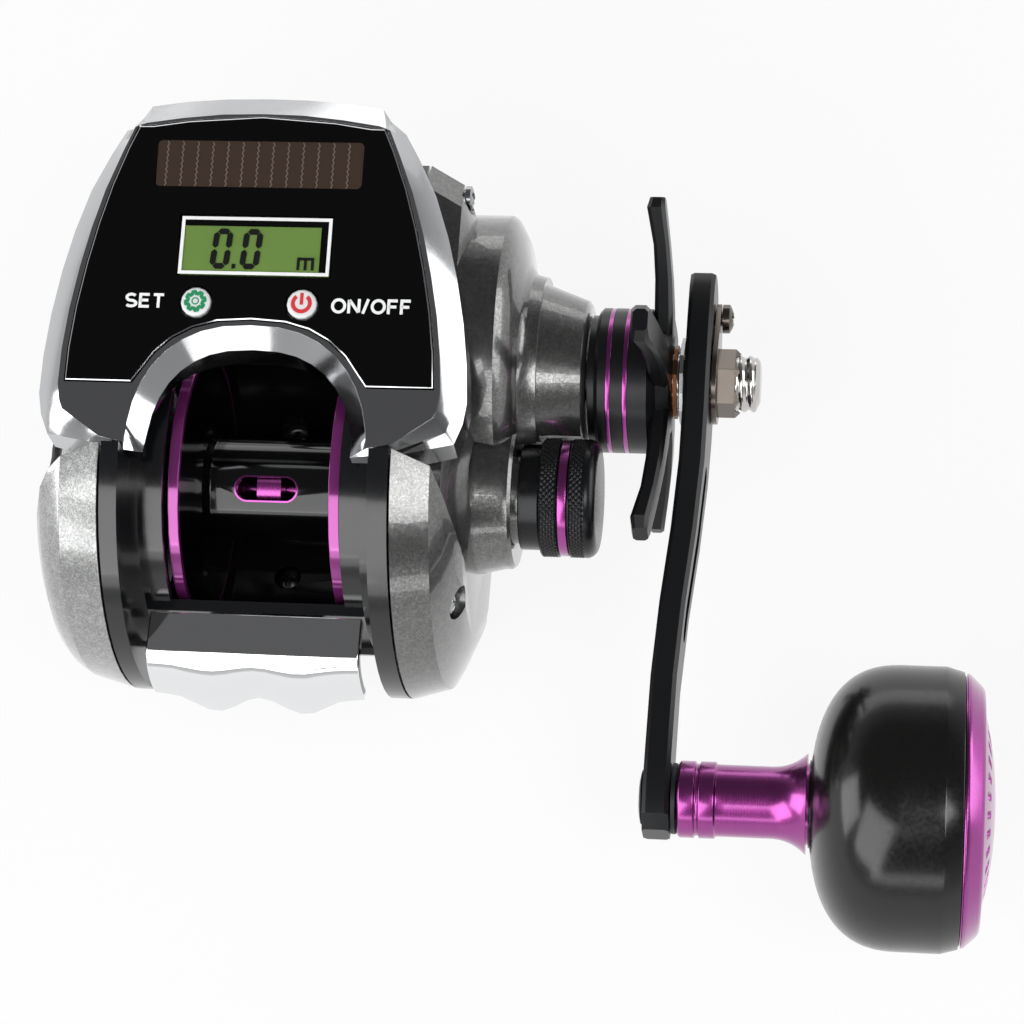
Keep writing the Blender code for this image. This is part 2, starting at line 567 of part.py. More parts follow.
# Frame
def make_frame():
    def disc(tag, r, x0, x1):
        return to_object(tag, *lathe([(x0, r), (x1, r)], count=FINE))

    frame = to_object("frame", *prism(SIDE, LEFT_OUT, LEFT_BAND), BLACK_GLOSS)
    x0, x1 = LEFT_BAND - BURY, RIGHT_BAND + BURY
    trough = arc(0, 0, TROUGH_R, -168 * RAD, -8 * RAD, 22)
    trough += arc(0, 0, TROUGH_R + TROUGH_T, -8 * RAD, -168 * RAD, 22)
    base = [(-math.sqrt(PLATE_R ** 2 - BASE_DROP ** 2), -BASE_DROP), (BASE_FRONT, -BASE_DROP)]
    base += arc(0, 0, TROUGH_R + TROUGH_T / 2, -50 * RAD, -125 * RAD, 12)
    bridge_y = -(SPOOL_R + BRIDGE_CLEAR)
    bridge = [(bridge_y, BAR_TOP - SEAT), (BAR_FRONT + SEAT, BAR_TOP - SEAT),
              (BAR_FRONT + SEAT, -BRIDGE_DROP / 2), (bridge_y - TROUGH_T, -BRIDGE_DROP),
              (bridge_y - TROUGH_T / 2, -BRIDGE_DROP), (bridge_y, -SEAT)]
    low = arc(FRONT_BAR_Y, -FRONT_BAR_Z, FRONT_BAR_R, 0, 2 * math.pi * 11 / 12, 11)
    top = [(NOSE_Y - TOP_BAR_W * 1.5, TOP_BAR_Z), (NOSE_Y - TOP_BAR_W / 2, TOP_BAR_Z),
           (NOSE_Y - TOP_BAR_W / 2, under(NOSE_Y - TOP_BAR_W) - SEAT * 3),
           (NOSE_Y - TOP_BAR_W * 1.5, under(NOSE_Y - TOP_BAR_W * 1.5) - SEAT * 3)]
    join(frame,
         to_object("frame_plate_right", *prism(SIDE, RIGHT_BAND, RIGHT_OUT)),
         disc("frame_step_left", STEP_R, LEFT_STEP, LEFT_BAND - BURY),
         disc("frame_lip_left", LIP_R, LEFT_LIP, LEFT_STEP - BURY),
         disc("frame_step_right", STEP_R, RIGHT_STEP, RIGHT_BAND + BURY),
         disc("frame_lip_right", LIP_R, RIGHT_LIP, RIGHT_STEP + BURY),
         to_object("frame_trough", *prism(trough, x0, x1)),
         to_object("frame_base", *prism(base, x0, x1)),
         to_object("frame_bridge", *prism(bridge, x0, x1)),
         to_object("frame_bar_low", *prism(low, x0, x1)),
         to_object("frame_bar_top", *prism(top, x0, x1)),
         *(to_object("yoke_post_%d" % k, *lathe(
             [(RIGHT_OUT - BURY, POST_R), (YOKE_FACE + YOKE_T + YOKE_TRAVEL, POST_R)], (0, z), TINY))
           for k, z in enumerate((-POST_PLACE, POST_PLACE))))
    pinion_hole = BEARING_R + PINION_BEARING_EXTRA + SEAT
    cut(frame,
        disc("bore_left", FLANGE_POCKET_R, LEFT_OUT - OVER, LEFT_LIP + OVER),
        disc("bore_right", FLANGE_POCKET_R, RIGHT_LIP - OVER, RIGHT_LIP + FLANGE_POCKET_T),
        to_object("hole_pinion", *lathe([(RIGHT_LIP, pinion_hole), (RIGHT_OUT + OVER, pinion_hole)],
                                        count=SMALL)),
        to_object("pocket_shaft", *lathe(
            [(RIGHT_OUT - SHAFT_BEARING_W - SEAT, SHAFT_BEARING_R + SEAT),
             (RIGHT_OUT + OVER, SHAFT_BEARING_R + SEAT)], (SHAFT_Y, SHAFT_Z), SMALL)),
        to_object("hole_worm", *lathe([(LEFT_OUT - OVER, WORM_JOURNAL_R + RUN),
                                       (RIGHT_OUT + OVER, WORM_JOURNAL_R + RUN)],
                                      (WORM_Y, WORM_Z), TINY)),
        *(to_object("hole_cover_%s" % tag, *lathe(
            [(RIGHT_OUT - COVER_SCREW_GRIP, COVER_SCREW_R + SLIM), (RIGHT_OUT + OVER, COVER_SCREW_R + SLIM)],
            (y, z), TINY)) for tag, (y, z, grip) in COVER_SCREWS))
    for k, y in enumerate(FOOT_SCREW_Y):
        seat = foot_screw_seat(y)
        up = Matrix.Translation(Vector((FOOT_SCREW_X, y, 0))) @ frame_of((0, 0, 1))
        cut(frame, to_object("hole_foot_%d" % k, *lathe(
            [(-BASE_DROP - OVER, SCREW_R + SEAT), (seat, SCREW_R + SEAT),
             (seat, SCREW_HEAD_R + SEAT), (seat + TROUGH_R / 2, SCREW_HEAD_R + SEAT)],
            count=SMALL, place=up)))
    return frame


def foot_screw_seat(y):
    """Height of the screw head's seat in the trough's floor."""
    return -math.sqrt(TROUGH_R ** 2 - (abs(y) - SCREW_HEAD_R) ** 2) - SCREW_RECESS


FRAME = make_frame()


# Foot: a flat plate thinned and narrowed towards both ends
def make_foot():
    length_shares = (-0.5, -0.485, -0.44, -0.34, -0.18, 0.0, 0.18, 0.34, 0.44, 0.485, 0.5)
    width_shares = (0.30, 0.52, 0.80, 0.94, 1.0, 1.0, 1.0, 0.94, 0.80, 0.52, 0.30)
    thick_shares = (0.40, 0.44, 0.52, 0.70, 1.0, 1.0, 1.0, 0.70, 0.52, 0.44, 0.40)
    sections = []
    for ls, ws, ts in zip(length_shares, width_shares, thick_shares):
        y = ls * FOOT_L - AXIS_Y
        w, t, z0 = ws * FOOT_W / 2, ts * FOOT_T, -AXIS_Z
        e = t * FOOT_EDGE_SHARE
        sections.append([(-w, y, z0), (w, y, z0), (w, y, z0 + t - e), (w - e, y, z0 + t),
                         (-w + e, y, z0 + t), (-w, y, z0 + t - e)])
    foot = to_object("reel_foot", *loft(sections), BLACK_SATIN)
    for k, y in enumerate(FOOT_SCREW_Y):
        up = Matrix.Translation(Vector((FOOT_SCREW_X, y, 0))) @ frame_of((0, 0, 1))
        cut(foot, to_object("hole_in_foot_%d" % k, *lathe(
            [(-AXIS_Z + FOOT_T / 4, SCREW_R + SEAT), (-BASE_DROP + OVER, SCREW_R + SEAT)],
            count=SMALL, place=up)))
        seat = foot_screw_seat(y) + SEAT
        tip = -AXIS_Z + FOOT_T / 4 + SEAT
        to_object("foot_screw_%s" % ("rear", "front")[k], *lathe(
            [(tip, 0), (tip, SCREW_R), (seat, SCREW_R), (seat, SCREW_HEAD_R),
             (seat + SCREW_HEAD_T * 0.6, SCREW_HEAD_R),
             (seat + SCREW_HEAD_T, SCREW_HEAD_R * 0.7), (seat + SCREW_HEAD_T, 0)],
            count=SMALL, place=up), STEEL)


make_foot()


# Side covers: the side outline drawn in step by step towards the outer face
def cover_shell(name, mat, start, reach, crease, rows):
    sign = 1 if reach > 0 else -1
    span = abs(reach) - crease
    sections = [[(start, y, z) for y, z in SIDE],
                [(start + sign * crease, y, z) for y, z in side_outline(COVER_CREASE_IN)]]
    for xs, ins in rows:
        sections.append([(start + sign * (crease + xs * span), y, z)
                         for y, z in side_outline(COVER_CREASE_IN + ins * COVER_ROUND)])
    return to_object(name, *loft(sections), mat)


LEFT_ROUND_SHARES = ((0.36, 0.16), (0.66, 0.40), (0.88, 0.74), (1.0, 1.0))
RIGHT_ROUND_SHARES = ((0.40, 0.34), (0.75, 0.72), (1.0, 1.0))


def make_left_cover():
    cover = cover_shell("left_side_cover", SILVER_PAINT, COVER_LEFT_IN, -COVER_LEFT_T,
                        CREASE_LEFT, LEFT_ROUND_SHARES)
    depth = COVER_LEFT_IN - LEFT_CAVITY
    cut(cover,
        to_object("left_cavity", *lathe(
            [(COVER_LEFT_IN + OVER, HUB_BOSS_R), (COVER_LEFT_IN + OVER, MAGNET_PLATE_R + RUN * 2),
             (depth, MAGNET_PLATE_R + RUN * 2), (depth, HUB_BOSS_R)], count=FINE, closed=True)),
        to_object("left_bearing_bore", *lathe(
            [(COVER_LEFT_IN + OVER, BEARING_R + SEAT),
             (COVER_LEFT_IN - BEARING_W - SEAT * 2, BEARING_R + SEAT)], count=SMALL)),
        to_object("left_shaft_well", *lathe(
            [(COVER_LEFT_IN, SPOOL_SHAFT_R + RUN * 2),
             (COVER_LEFT_IN - BEARING_W - OVER * 2, SPOOL_SHAFT_R + RUN * 2)], count=TINY)),
        to_object("dial_recess", *lathe(
            [(COVER_LEFT_OUT - OVER, DIAL_R + RUN), (COVER_LEFT_OUT + DIAL_SUNK, DIAL_R + RUN)],
            count=ROUND)))
    return cover


make_left_cover()
to_object("left_spool_bearing", *lathe(
    ring_profile(COVER_LEFT_IN - BEARING_W - SEAT, COVER_LEFT_IN - SEAT,
                 SPOOL_SHAFT_R + SEAT, BEARING_R), count=SMALL, closed=True), STEEL)


# Brake dial with finger scallops, and the magnet plate it drives
def make_dial():
    x0 = COVER_LEFT_OUT + DIAL_SUNK - SEAT
    x1 = x0 - DIAL_T
    count = 48
    rows = []
    for x, r in ((x0, DIAL_R), (x1 + DIAL_EDGE, DIAL_R), (x1, DIAL_R - DIAL_EDGE)):
        ring = []
        for k in range(count):
            a = 2 * math.pi * k / count
            rr = r - (DIAL_SCALLOP if k % 4 == 0 and x < x0 else 0)
            ring.append((x, rr * math.cos(a), rr * math.sin(a)))
        rows.append(ring)
    dial = to_object("brake_dial", *loft(rows), BLACK_SATIN)
    ridge = DIAL_R * 0.72
    cut(dial, to_object("dial_dish_upper", *prism(
        [(-ridge, DIAL_GRIP / 2)] + arc(0, 0, ridge, 165 * RAD, 15 * RAD, 12)
        + [(ridge, DIAL_GRIP / 2)], x1 - OVER, x1 + DIAL_T / 2)),
        to_object("dial_dish_lower", *prism(
            [(ridge, -DIAL_GRIP / 2)] + arc(0, 0, ridge, -15 * RAD, -165 * RAD, 12)
            + [(-ridge, -DIAL_GRIP / 2)], x1 - OVER, x1 + DIAL_T / 2)))


make_dial()


def make_magnets():
    back = COVER_LEFT_IN - LEFT_CAVITY + SEAT
    plate = to_object("magnet_plate", *lathe(
        [(back, HUB_BOSS_R + RUN), (back, MAGNET_PLATE_R), (back + MAGNET_PLATE_T, MAGNET_PLATE_R),
         (back + MAGNET_PLATE_T, HUB_BOSS_R + RUN)], count=ROUND, closed=True), STEEL)
    mid = (HUB_BOSS_R + MAGNET_PLATE_R) / 2
    for k in range(MAGNETS):
        a = 2 * math.pi * k / MAGNETS
        join(plate, to_object("magnet_%d" % k, *lathe(
            [(back + BURY, MAGNET_R), (back + MAGNET_PLATE_T + MAGNET_H, MAGNET_R)],
            (mid * math.cos(a), mid * math.sin(a)), TINY)))


make_magnets()


# Right cover: shell, gear case, conical boss for the drive shaft and threaded cast-control neck
def make_right_cover():
    cover = cover_shell("right_side_cover", GREY_PAINT, COVER_RIGHT_IN, COVER_RIGHT_T,
                        CREASE_RIGHT, RIGHT_ROUND_SHARES)
    start = COVER_RIGHT_IN + BURY
    slope_shares = ((1.1, 0.0, 1.0), (0.8, 0.25, 1.0), (0.3, 1.0, 0.7))
    case = [(start, CASE_R, CASE_SHIFT)]
    case += [(CASE_OUT - CASE_SLOPE * xs, CASE_R - CASE_SLOPE * rs, CASE_SHIFT * ss)
             for xs, rs, ss in slope_shares]
    case += [(CASE_OUT, CASE_RING_R + CASE_STEP * 2, CASE_SHIFT / 4),
             (CASE_OUT + CASE_RING_L / 3, CASE_RING_R, 0),
             (CASE_RING_OUT, CASE_RING_R - CASE_STEP, 0), (CASE_RING_OUT, CONE_R, 0),
             (CASE_END - CASE_STEP, CONE_TIP_R + CASE_STEP / 2, 0),
             (CASE_END, CONE_TIP_R - CASE_STEP, 0)]
    boss = [(start, 0), (start, CAST_BOSS_R + CASE_STEP * 3),
            (COVER_RIGHT_OUT + CASE_STEP, CAST_BOSS_R + CASE_STEP * 2),
            (CAST_BOSS_END - CASE_STEP * 3, CAST_BOSS_R),
            (CAST_BOSS_END - CASE_STEP, CAST_BOSS_R), (CAST_BOSS_END, CAST_BOSS_R - CASE_STEP),
            (CAST_BOSS_END, 0)]
    wide, skirt = CAST_R + CASE_STEP, CAST_NECK_R + CAST_SKIRT_T + CASE_STEP
    turning = [(CAST_BOSS_END, 0), (CAST_BOSS_END, skirt), (CAST_START - SEAT * 2, skirt),
               (CAST_START - SEAT * 2, wide), (CASE_END + OVER, wide), (CASE_END + OVER, 0)]
    join(cover,
         to_object("gear_case", *loft([
             [(x, SHAFT_Y + shift + y, SHAFT_Z + z) for y, z in arc(0, 0, r, 0, LAST_STEP, FINE - 1)]
             for x, r, shift in case])),
         to_object("cast_boss", *lathe(boss, count=ROUND)))
    cut(cover, to_object("cast_turning_room", *lathe(turning, count=ROUND)))
    join(cover, to_object("cast_neck", *lathe(
        [(CAST_BOSS_END - OVER, CAST_NECK_R), (CAST_NECK_END, CAST_NECK_R)], count=ROUND,
        phase=math.pi / ROUND)))
    back = COVER_RIGHT_IN - OVER
    gear_room = GEAR_FACE + GEAR_W + GEAR_SPARE
    bearing_back = RIGHT_BEARING_X - SEAT
    cut(cover,
        to_object("gear_room", *lathe(
            [(back, GEAR_ROOM_R), (gear_room, GEAR_ROOM_R)], (SHAFT_Y, SHAFT_Z), FINE)),
        to_object("worm_gear_room", *lathe(
            [(back, LW_ROOM_R), (COVER_RIGHT_IN + LW_GEAR_W + SEAT * 4, LW_ROOM_R)],
            (WORM_Y, WORM_Z), ROUND)),
        to_object("clutch_room", *lathe(
            [(back, YOKE_HALF + RUN * 3), (YOKE_FACE + YOKE_T + YOKE_TRAVEL + RUN, YOKE_HALF + RUN * 3)],
            count=ROUND)),
        to_object("pinion_room", *lathe(
            [(back, PINION_ROOM_R), (PINION_ROOM_END, PINION_ROOM_R)], count=SMALL)),
        to_object("right_bearing_bore", *lathe(
            [(bearing_back, BEARING_R + SEAT), (CAST_NECK_END + OVER, BEARING_R + SEAT)],
            count=SMALL)),
        to_object("right_shaft_bore", *lathe(
            [(back, SHAFT_THIN_R + RUN * 2), (CAST_NECK_END, SHAFT_THIN_R + RUN * 2)],
            count=TINY)),
        to_object("clutch_bore", *lathe(
            [(gear_room - OVER, CLUTCH_BEARING_R + SEAT), (CASE_END + OVER, CLUTCH_BEARING_R + SEAT)],
            (SHAFT_Y, SHAFT_Z), ROUND, phase=math.pi / (2 * FINE))),
        *(cover_screw_cut(tag, *place) for tag, place in COVER_SCREWS))
    return cover


def cover_screw_cut(tag, y, z, grip):
    seat = COVER_RIGHT_IN + grip
    room = COVER_SCREW_HEAD_R + COVER_SCREW_ROOM
    return to_object("screw_room_" + tag, *lathe(
        [(COVER_RIGHT_IN - OVER, COVER_SCREW_R + SLIM), (seat, COVER_SCREW_R + SLIM), (seat, room),
         (COVER_RIGHT_OUT + OVER, room)], (y, z), SMALL))


RIGHT_COVER = make_right_cover()
to_object("right_spool_bearing", *lathe(
    ring_profile(RIGHT_BEARING_X, RIGHT_BEARING_X + BEARING_W, SHAFT_THIN_R + SEAT, BEARING_R),
    count=SMALL, closed=True), STEEL)

for tag, (y, z, grip) in COVER_SCREWS:
    seat = COVER_RIGHT_IN + grip + SEAT
    to_object("cover_screw_" + tag, *lathe(
        [(RIGHT_OUT - COVER_SCREW_GRIP + SEAT, 0), (RIGHT_OUT - COVER_SCREW_GRIP + SEAT, COVER_SCREW_R),
         (seat, COVER_SCREW_R), (seat, COVER_SCREW_HEAD_R),
         (seat + COVER_SCREW_HEAD_T * 0.6, COVER_SCREW_HEAD_R),
         (seat + COVER_SCREW_HEAD_T, COVER_SCREW_HEAD_R * 0.6), (seat + COVER_SCREW_HEAD_T, 0)],
        (y, z), SMALL), STEEL)

# Cast-control knob, screwed over the neck, with a coloured ring in its waist
CAST_WAIST = CAST_START + CAST_WAIST_L
CAST_BORE = CAST_NECK_R + RUN
CAST_SKIRT_R = CAST_NECK_R + CAST_SKIRT_T
CAST_FLOOR = CAST_NECK_END + RUN
waist_r = CAST_R - CAST_RING_DEPTH
knob = [(CAST_START - CAST_SKIRT_L, CAST_BORE), (CAST_START - CAST_SKIRT_L, CAST_SKIRT_R),
        (CAST_START, CAST_SKIRT_R), (CAST_START, CAST_R - CAST_EDGE), (CAST_START + CAST_EDGE, CAST_R),
        (CAST_WAIST, CAST_R), (CAST_WAIST, waist_r), (CAST_WAIST + CAST_RING_T + SLIM * 2, waist_r),
        (CAST_WAIST + CAST_RING_T + SLIM * 2, CAST_R), (CAST_START + CAST_L - CAST_EDGE * 3, CAST_R),
        (CAST_START + CAST_L - CAST_EDGE * 2.6, CAST_R - CAST_EDGE * 0.6),
        (CAST_START + CAST_L - CAST_EDGE, CAST_R - CAST_EDGE),
        (CAST_START + CAST_L, CAST_R - CAST_EDGE * 3.2), (CAST_START + CAST_L, 0),
        (CAST_FLOOR, 0), (CAST_FLOOR, CAST_BORE)]
to_object("cast_control_knob", *lathe(knob, closed=True), BLACK_SATIN)
to_object("cast_control_ring", *lathe(
    [(CAST_WAIST + SLIM, waist_r + SLIM), (CAST_WAIST + SLIM, CAST_R - SLIM),
     (CAST_WAIST + SLIM + CAST_RING_T, CAST_R - SLIM), (CAST_WAIST + SLIM + CAST_RING_T, waist_r + SLIM)],
    closed=True), MAGENTA)


# Spool: two flanges on a hollow arbor with an oblong line-tie slot
def make_spool():
    a, h, r = ARBOR_HALF, SPOOL_HALF, SPOOL_R
    bore = SPOOL_SHAFT_R + SEAT
    half = [(a - FILLET, ARBOR_R), (a, ARBOR_R + FILLET), (h - RIM_W - FLANGE_LEAN, r * 0.72),
            (h - RIM_W, r - RIM_STEP), (h - RIM_W, r), (h, r), (h, r - RIM_W),
            (h - RIM_W / 2, r - RIM_W * 2),
            (h - RIM_W / 2, HUB_R), (h + HUB_OUT, HUB_R), (h + HUB_OUT, bore), (a, bore),
            (a, ARBOR_R - ARBOR_WALL)]
    profile = [(-x, rr) for x, rr in reversed(half)] + half
    spool = to_object("spool", *lathe(profile, count=30, closed=True), BLACK_GLOSS)
    straight = (TIE_SLOT_L - TIE_SLOT_W) / 2
    ring = arc(straight, 0, TIE_SLOT_W / 2, -90 * RAD, 90 * RAD, 6)
    ring += arc(-straight, 0, TIE_SLOT_W / 2, 90 * RAD, 270 * RAD, 6)
    up = frame_of((0, math.cos(TIE_SLOT_TURN), math.sin(TIE_SLOT_TURN)))
    side = Vector((1, 0, 0)).cross(up.to_3x3() @ Vector((1, 0, 0)))
    out = up.to_3x3() @ Vector((1, 0, 0))
    rows = [[out * d + Vector((TIE_SLOT_X + p, 0, 0)) + side * q for p, q in ring]
            for d in (ARBOR_R - ARBOR_WALL * 2, ARBOR_R + ARBOR_WALL)]
    return cut(spool, to_object("tie_slot", *loft(rows)))


make_spool()

shaft_left = COVER_LEFT_IN - BEARING_W - OVER
shaft_right = RIGHT_BEARING_X + BEARING_W + OVER
pin_x = RIGHT_LIP + FLANGE_POCKET_T + SEAT
step_x = pin_x + DRIVE_PIN_R + SLIM
spool_shaft = to_object("spool_shaft", *lathe(
    [(shaft_left, 0), (shaft_left, SPOOL_SHAFT_R * 0.6),
     (shaft_left + SPOOL_SHAFT_R * 0.4, SPOOL_SHAFT_R), (step_x, SPOOL_SHAFT_R), (step_x, SHAFT_THIN_R),
     (shaft_right - SHAFT_THIN_R * 0.4, SHAFT_THIN_R), (shaft_right, SHAFT_THIN_R * 0.6),
     (shaft_right, 0)], count=SMALL), MAGENTA)
join(spool_shaft,
     to_object("drive_pin", *lathe(
         [(-DRIVE_PIN_HALF, DRIVE_PIN_R), (DRIVE_PIN_HALF, DRIVE_PIN_R)], count=TINY,
         place=Matrix.Translation(Vector((pin_x, 0, 0))) @ frame_of((0, 1, 0)))),
     to_object("hub_collar", *lathe(
         [(TIE_SLOT_X - HUB_COLLAR_HALF, HUB_COLLAR_R), (TIE_SLOT_X + HUB_COLLAR_HALF, HUB_COLLAR_R)],
         count=ROUND)))


# Pinion: a sleeve slotted for the drive pin, a neck for the yoke and ten teeth
def make_pinion():
    sleeve_start = pin_x + DRIVE_PIN_R + SEAT
    neck = YOKE_FACE - RUN
    neck_end = YOKE_FACE + YOKE_T + RUN
    body = [(sleeve_start, PINION_BORE), (sleeve_start, SLEEVE_R), (neck, SLEEVE_R),
            (neck, YOKE_NECK_R), (neck_end, YOKE_NECK_R), (neck_end, SLEEVE_R),
            (PINION_FACE + BURY, SLEEVE_R), (PINION_FACE + BURY, PINION_BORE)]
    pinion = to_object("pinion_gear", *lathe(body, count=20, closed=True), BRASS)
    gap_at = math.atan2(SHAFT_Z, SHAFT_Y) + math.pi / PINION_TEETH
    join(pinion, cut(
        to_object("pinion_teeth", *prism(gear_outline(PINION_TEETH, MODULE, gap_at, (0, 0)),
                                         PINION_FACE, PINION_FACE + PINION_W)),
        to_object("pinion_bore", *lathe([(PINION_FACE - OVER, PINION_BORE),
                                         (PINION_FACE + PINION_W + OVER, PINION_BORE)], count=20))))
    return pinion


PINION_BORE = SHAFT_THIN_R + SLIM
make_pinion()
pinion_bearing_r = BEARING_R + PINION_BEARING_EXTRA
to_object("pinion_bearing", *lathe(
    ring_profile(RIGHT_OUT - BEARING_W - SEAT, RIGHT_OUT - SEAT, SLEEVE_R + SEAT, pinion_bearing_r),
    count=SMALL, closed=True), STEEL)


# Clutch: a cam ring round the pinion's sleeve and the yoke that lifts the pinion
def make_clutch():
    cam = to_object("clutch_cam", *lathe(
        [(CAM_FACE, SLEEVE_R + RUN), (CAM_FACE, CAM_R), (CAM_FACE + CAM_T, CAM_R),
         (CAM_FACE + CAM_T, SLEEVE_R + RUN)], count=ROUND, closed=True), STEEL)
    arm_end = -CAM_R - CAM_ARM
    join(cam, to_object("cam_arm", *box(CAM_FACE, CAM_FACE + CAM_T, arm_end, -CAM_R + OVER,
                                        -CAM_ARM, -CAM_ARM / 3)))
    w, h = YOKE_W / 2, YOKE_HALF
    yoke = to_object("clutch_yoke", *prism(
        [(-w, -h + w), (-w * 0.6, -h), (w * 0.6, -h), (w, -h + w), (w, h - w), (w * 0.6, h),
         (-w * 0.6, h), (-w, h - w)], YOKE_FACE, YOKE_FACE + YOKE_T), MATTE_BLACK)
    x0, x1 = YOKE_FACE - OVER, YOKE_FACE + YOKE_T + OVER
    fork = YOKE_NECK_R + SLIM
    cut(yoke, to_object("yoke_fork", *prism(
        [(-w - OVER, -fork)] + arc(0, 0, fork, -90 * RAD, 90 * RAD, 12) + [(-w - OVER, fork)], x0, x1)),
        *(to_object("yoke_hole_%d" % k, *lathe([(x0, POST_R + RUN), (x1, POST_R + RUN)],
                                               (0, z), TINY))
          for k, z in enumerate((-POST_PLACE, POST_PLACE))))


CAM_R = POST_PLACE - POST_R - RUN
MATTE_BLACK = material("matte_black", "202122", 0.0, 0.6)
make_clutch()


# Drive gear with its drag cup, and the gears that turn the worm
def make_gears():
    tooth_at = math.atan2(-SHAFT_Z, -SHAFT_Y)
    centre = (SHAFT_Y, SHAFT_Z)
    gear = to_object("drive_gear", *prism(
        gear_outline(GEAR_TEETH, MODULE, tooth_at, centre, False), GEAR_FACE, GEAR_FACE + GEAR_W),
        BRASS, "shaft")
    end = GEAR_FACE + GEAR_W
    cut(gear,
        to_object("drag_cup", *lathe([(end - DRAG_CUP_DEPTH, DRAG_CUP_R), (end + OVER, DRAG_CUP_R)],
                                     centre, ROUND)),
        to_object("gear_bore", *lathe([(GEAR_FACE - OVER, SHAFT_INNER_R + RUN),
                                       (end + OVER, SHAFT_INNER_R + RUN)], centre, SMALL)))
    mid = LW_DIR + math.pi
    lw = to_object("level_wind_drive_gear", *prism(
        gear_outline(LW_DRIVE_TEETH, LW_MODULE, LW_DIR, centre, False), CAM_FACE, CAM_FACE + LW_GEAR_W),
        BRASS, "shaft")
    cut(lw, to_object("lw_bore", *lathe([(CAM_FACE - OVER, SHAFT_INNER_R + RUN),
                                         (CAM_FACE + LW_GEAR_W + OVER, SHAFT_INNER_R + RUN)],
                                        centre, SMALL)))
    worm_centre = (WORM_Y, WORM_Z)
    worm = to_object("worm_gear", *prism(
        gear_outline(LW_WORM_TEETH, LW_MODULE, mid + math.pi / LW_WORM_TEETH, worm_centre, False),
        CAM_FACE, CAM_FACE + LW_GEAR_W), NYLON, "worm")
    cut(worm, to_object("worm_gear_bore", *lathe(
        [(CAM_FACE - OVER, WORM_JOURNAL_R + SEAT), (CAM_FACE + LW_GEAR_W + OVER, WORM_JOURNAL_R + SEAT)],
        worm_centre, TINY)))
    seat = end - DRAG_CUP_DEPTH + SLIM
    stack = (("drag_washer", DRAG_WASHER_T, CARBON), ("key_washer", KEY_WASHER_T, STEEL))
    for name, thick, mat in stack:
        to_object(name, *lathe([(seat, SHAFT_INNER_R + RUN), (seat, DRAG_CUP_R - RUN),
                                (seat + thick, DRAG_CUP_R - RUN),
                                (seat + thick, SHAFT_INNER_R + RUN)],
                               centre, ROUND, closed=True), mat, "shaft")
        seat += thick + SLIM
    return seat


NYLON = material("nylon", "D8D6CE", 0.0, 0.5)
STACK_END = make_gears()

# Bearings of the drive shaft
to_object("shaft_bearing", *lathe(
    ring_profile(RIGHT_OUT - SHAFT_BEARING_W, RIGHT_OUT, SHAFT_INNER_R + SEAT, SHAFT_BEARING_R),
    (SHAFT_Y, SHAFT_Z), SMALL, closed=True), STEEL)
OUTER_BEARING_X = CASE_END - SEAT - OUTER_BEARING_W
CLUTCH_BEARING_X = OUTER_BEARING_X - SEAT - CLUTCH_BEARING_W
to_object("anti_reverse_bearing", *lathe(
    ring_profile(CLUTCH_BEARING_X, CLUTCH_BEARING_X + CLUTCH_BEARING_W, CLUTCH_SLEEVE_R + RUN,
                 CLUTCH_BEARING_R), (SHAFT_Y, SHAFT_Z), ROUND, closed=True), STEEL)
to_object("outer_shaft_bearing", *lathe(
    ring_profile(OUTER_BEARING_X, OUTER_BEARING_X + OUTER_BEARING_W, SHAFT_R + SEAT,
                 CLUTCH_BEARING_R), (SHAFT_Y, SHAFT_Z), ROUND, closed=True), STEEL)
to_object("clutch_sleeve", *lathe(
    [(STACK_END, SHAFT_R + SLIM), (STACK_END, CLUTCH_SLEEVE_R + SLEEVE_LIP),
     (STACK_END + SLEEVE_LIP, CLUTCH_SLEEVE_R + SLEEVE_LIP), (STACK_END + SLEEVE_LIP, CLUTCH_SLEEVE_R),
     (OUTER_BEARING_X - SEAT, CLUTCH_SLEEVE_R), (OUTER_BEARING_X - SEAT, SHAFT_R + SLIM)],
    (SHAFT_Y, SHAFT_Z), SMALL, closed=True), STEEL, "shaft")

# Drive shaft, from the frame's bearing to the threaded tip with its two flats
COLLAR_X = CASE_END + SEAT
STAR_X = COLLAR_X + COLLAR_T
STAR_END = STAR_X + STAR_HUB_L + STAR_RAISE
SPRING_X = STAR_END + SLIM
ARM_X = SPRING_X + 2 * (SPRING_T + SLIM) + SPRING_CONE
NUT_X = ARM_X + ARM_T + SLIM
SHAFT_END = NUT_X + NUT_T + SHAFT_TIP
shaft_start = RIGHT_OUT - SHAFT_BEARING_W
shoulder = STACK_END
drive_shaft = to_object("drive_shaft", *lathe(
    [(shaft_start, 0), (shaft_start, SHAFT_INNER_R), (shoulder, SHAFT_INNER_R), (shoulder, SHAFT_R),
     (SHAFT_END - TIP_EDGE * 2, SHAFT_R), (SHAFT_END - TIP_EDGE, SHAFT_R - TIP_EDGE * 0.4),
     (SHAFT_END, SHAFT_R - TIP_EDGE * 1.6), (SHAFT_END, 0)],
    (SHAFT_Y, SHAFT_Z), 32), CHROME, "shaft")
for k, side in enumerate((-1, 1)):
    edge = SHAFT_Z + side * (SHAFT_R - SHAFT_FLAT)
    cut(drive_shaft, to_object("shaft_flat_%d" % k, *box(
        ARM_X - SLIM, SHAFT_END + OVER, SHAFT_Y - SHAFT_R * 2, SHAFT_Y + SHAFT_R * 2,
        *sorted((edge, SHAFT_Z + side * SHAFT_R * 2)))))


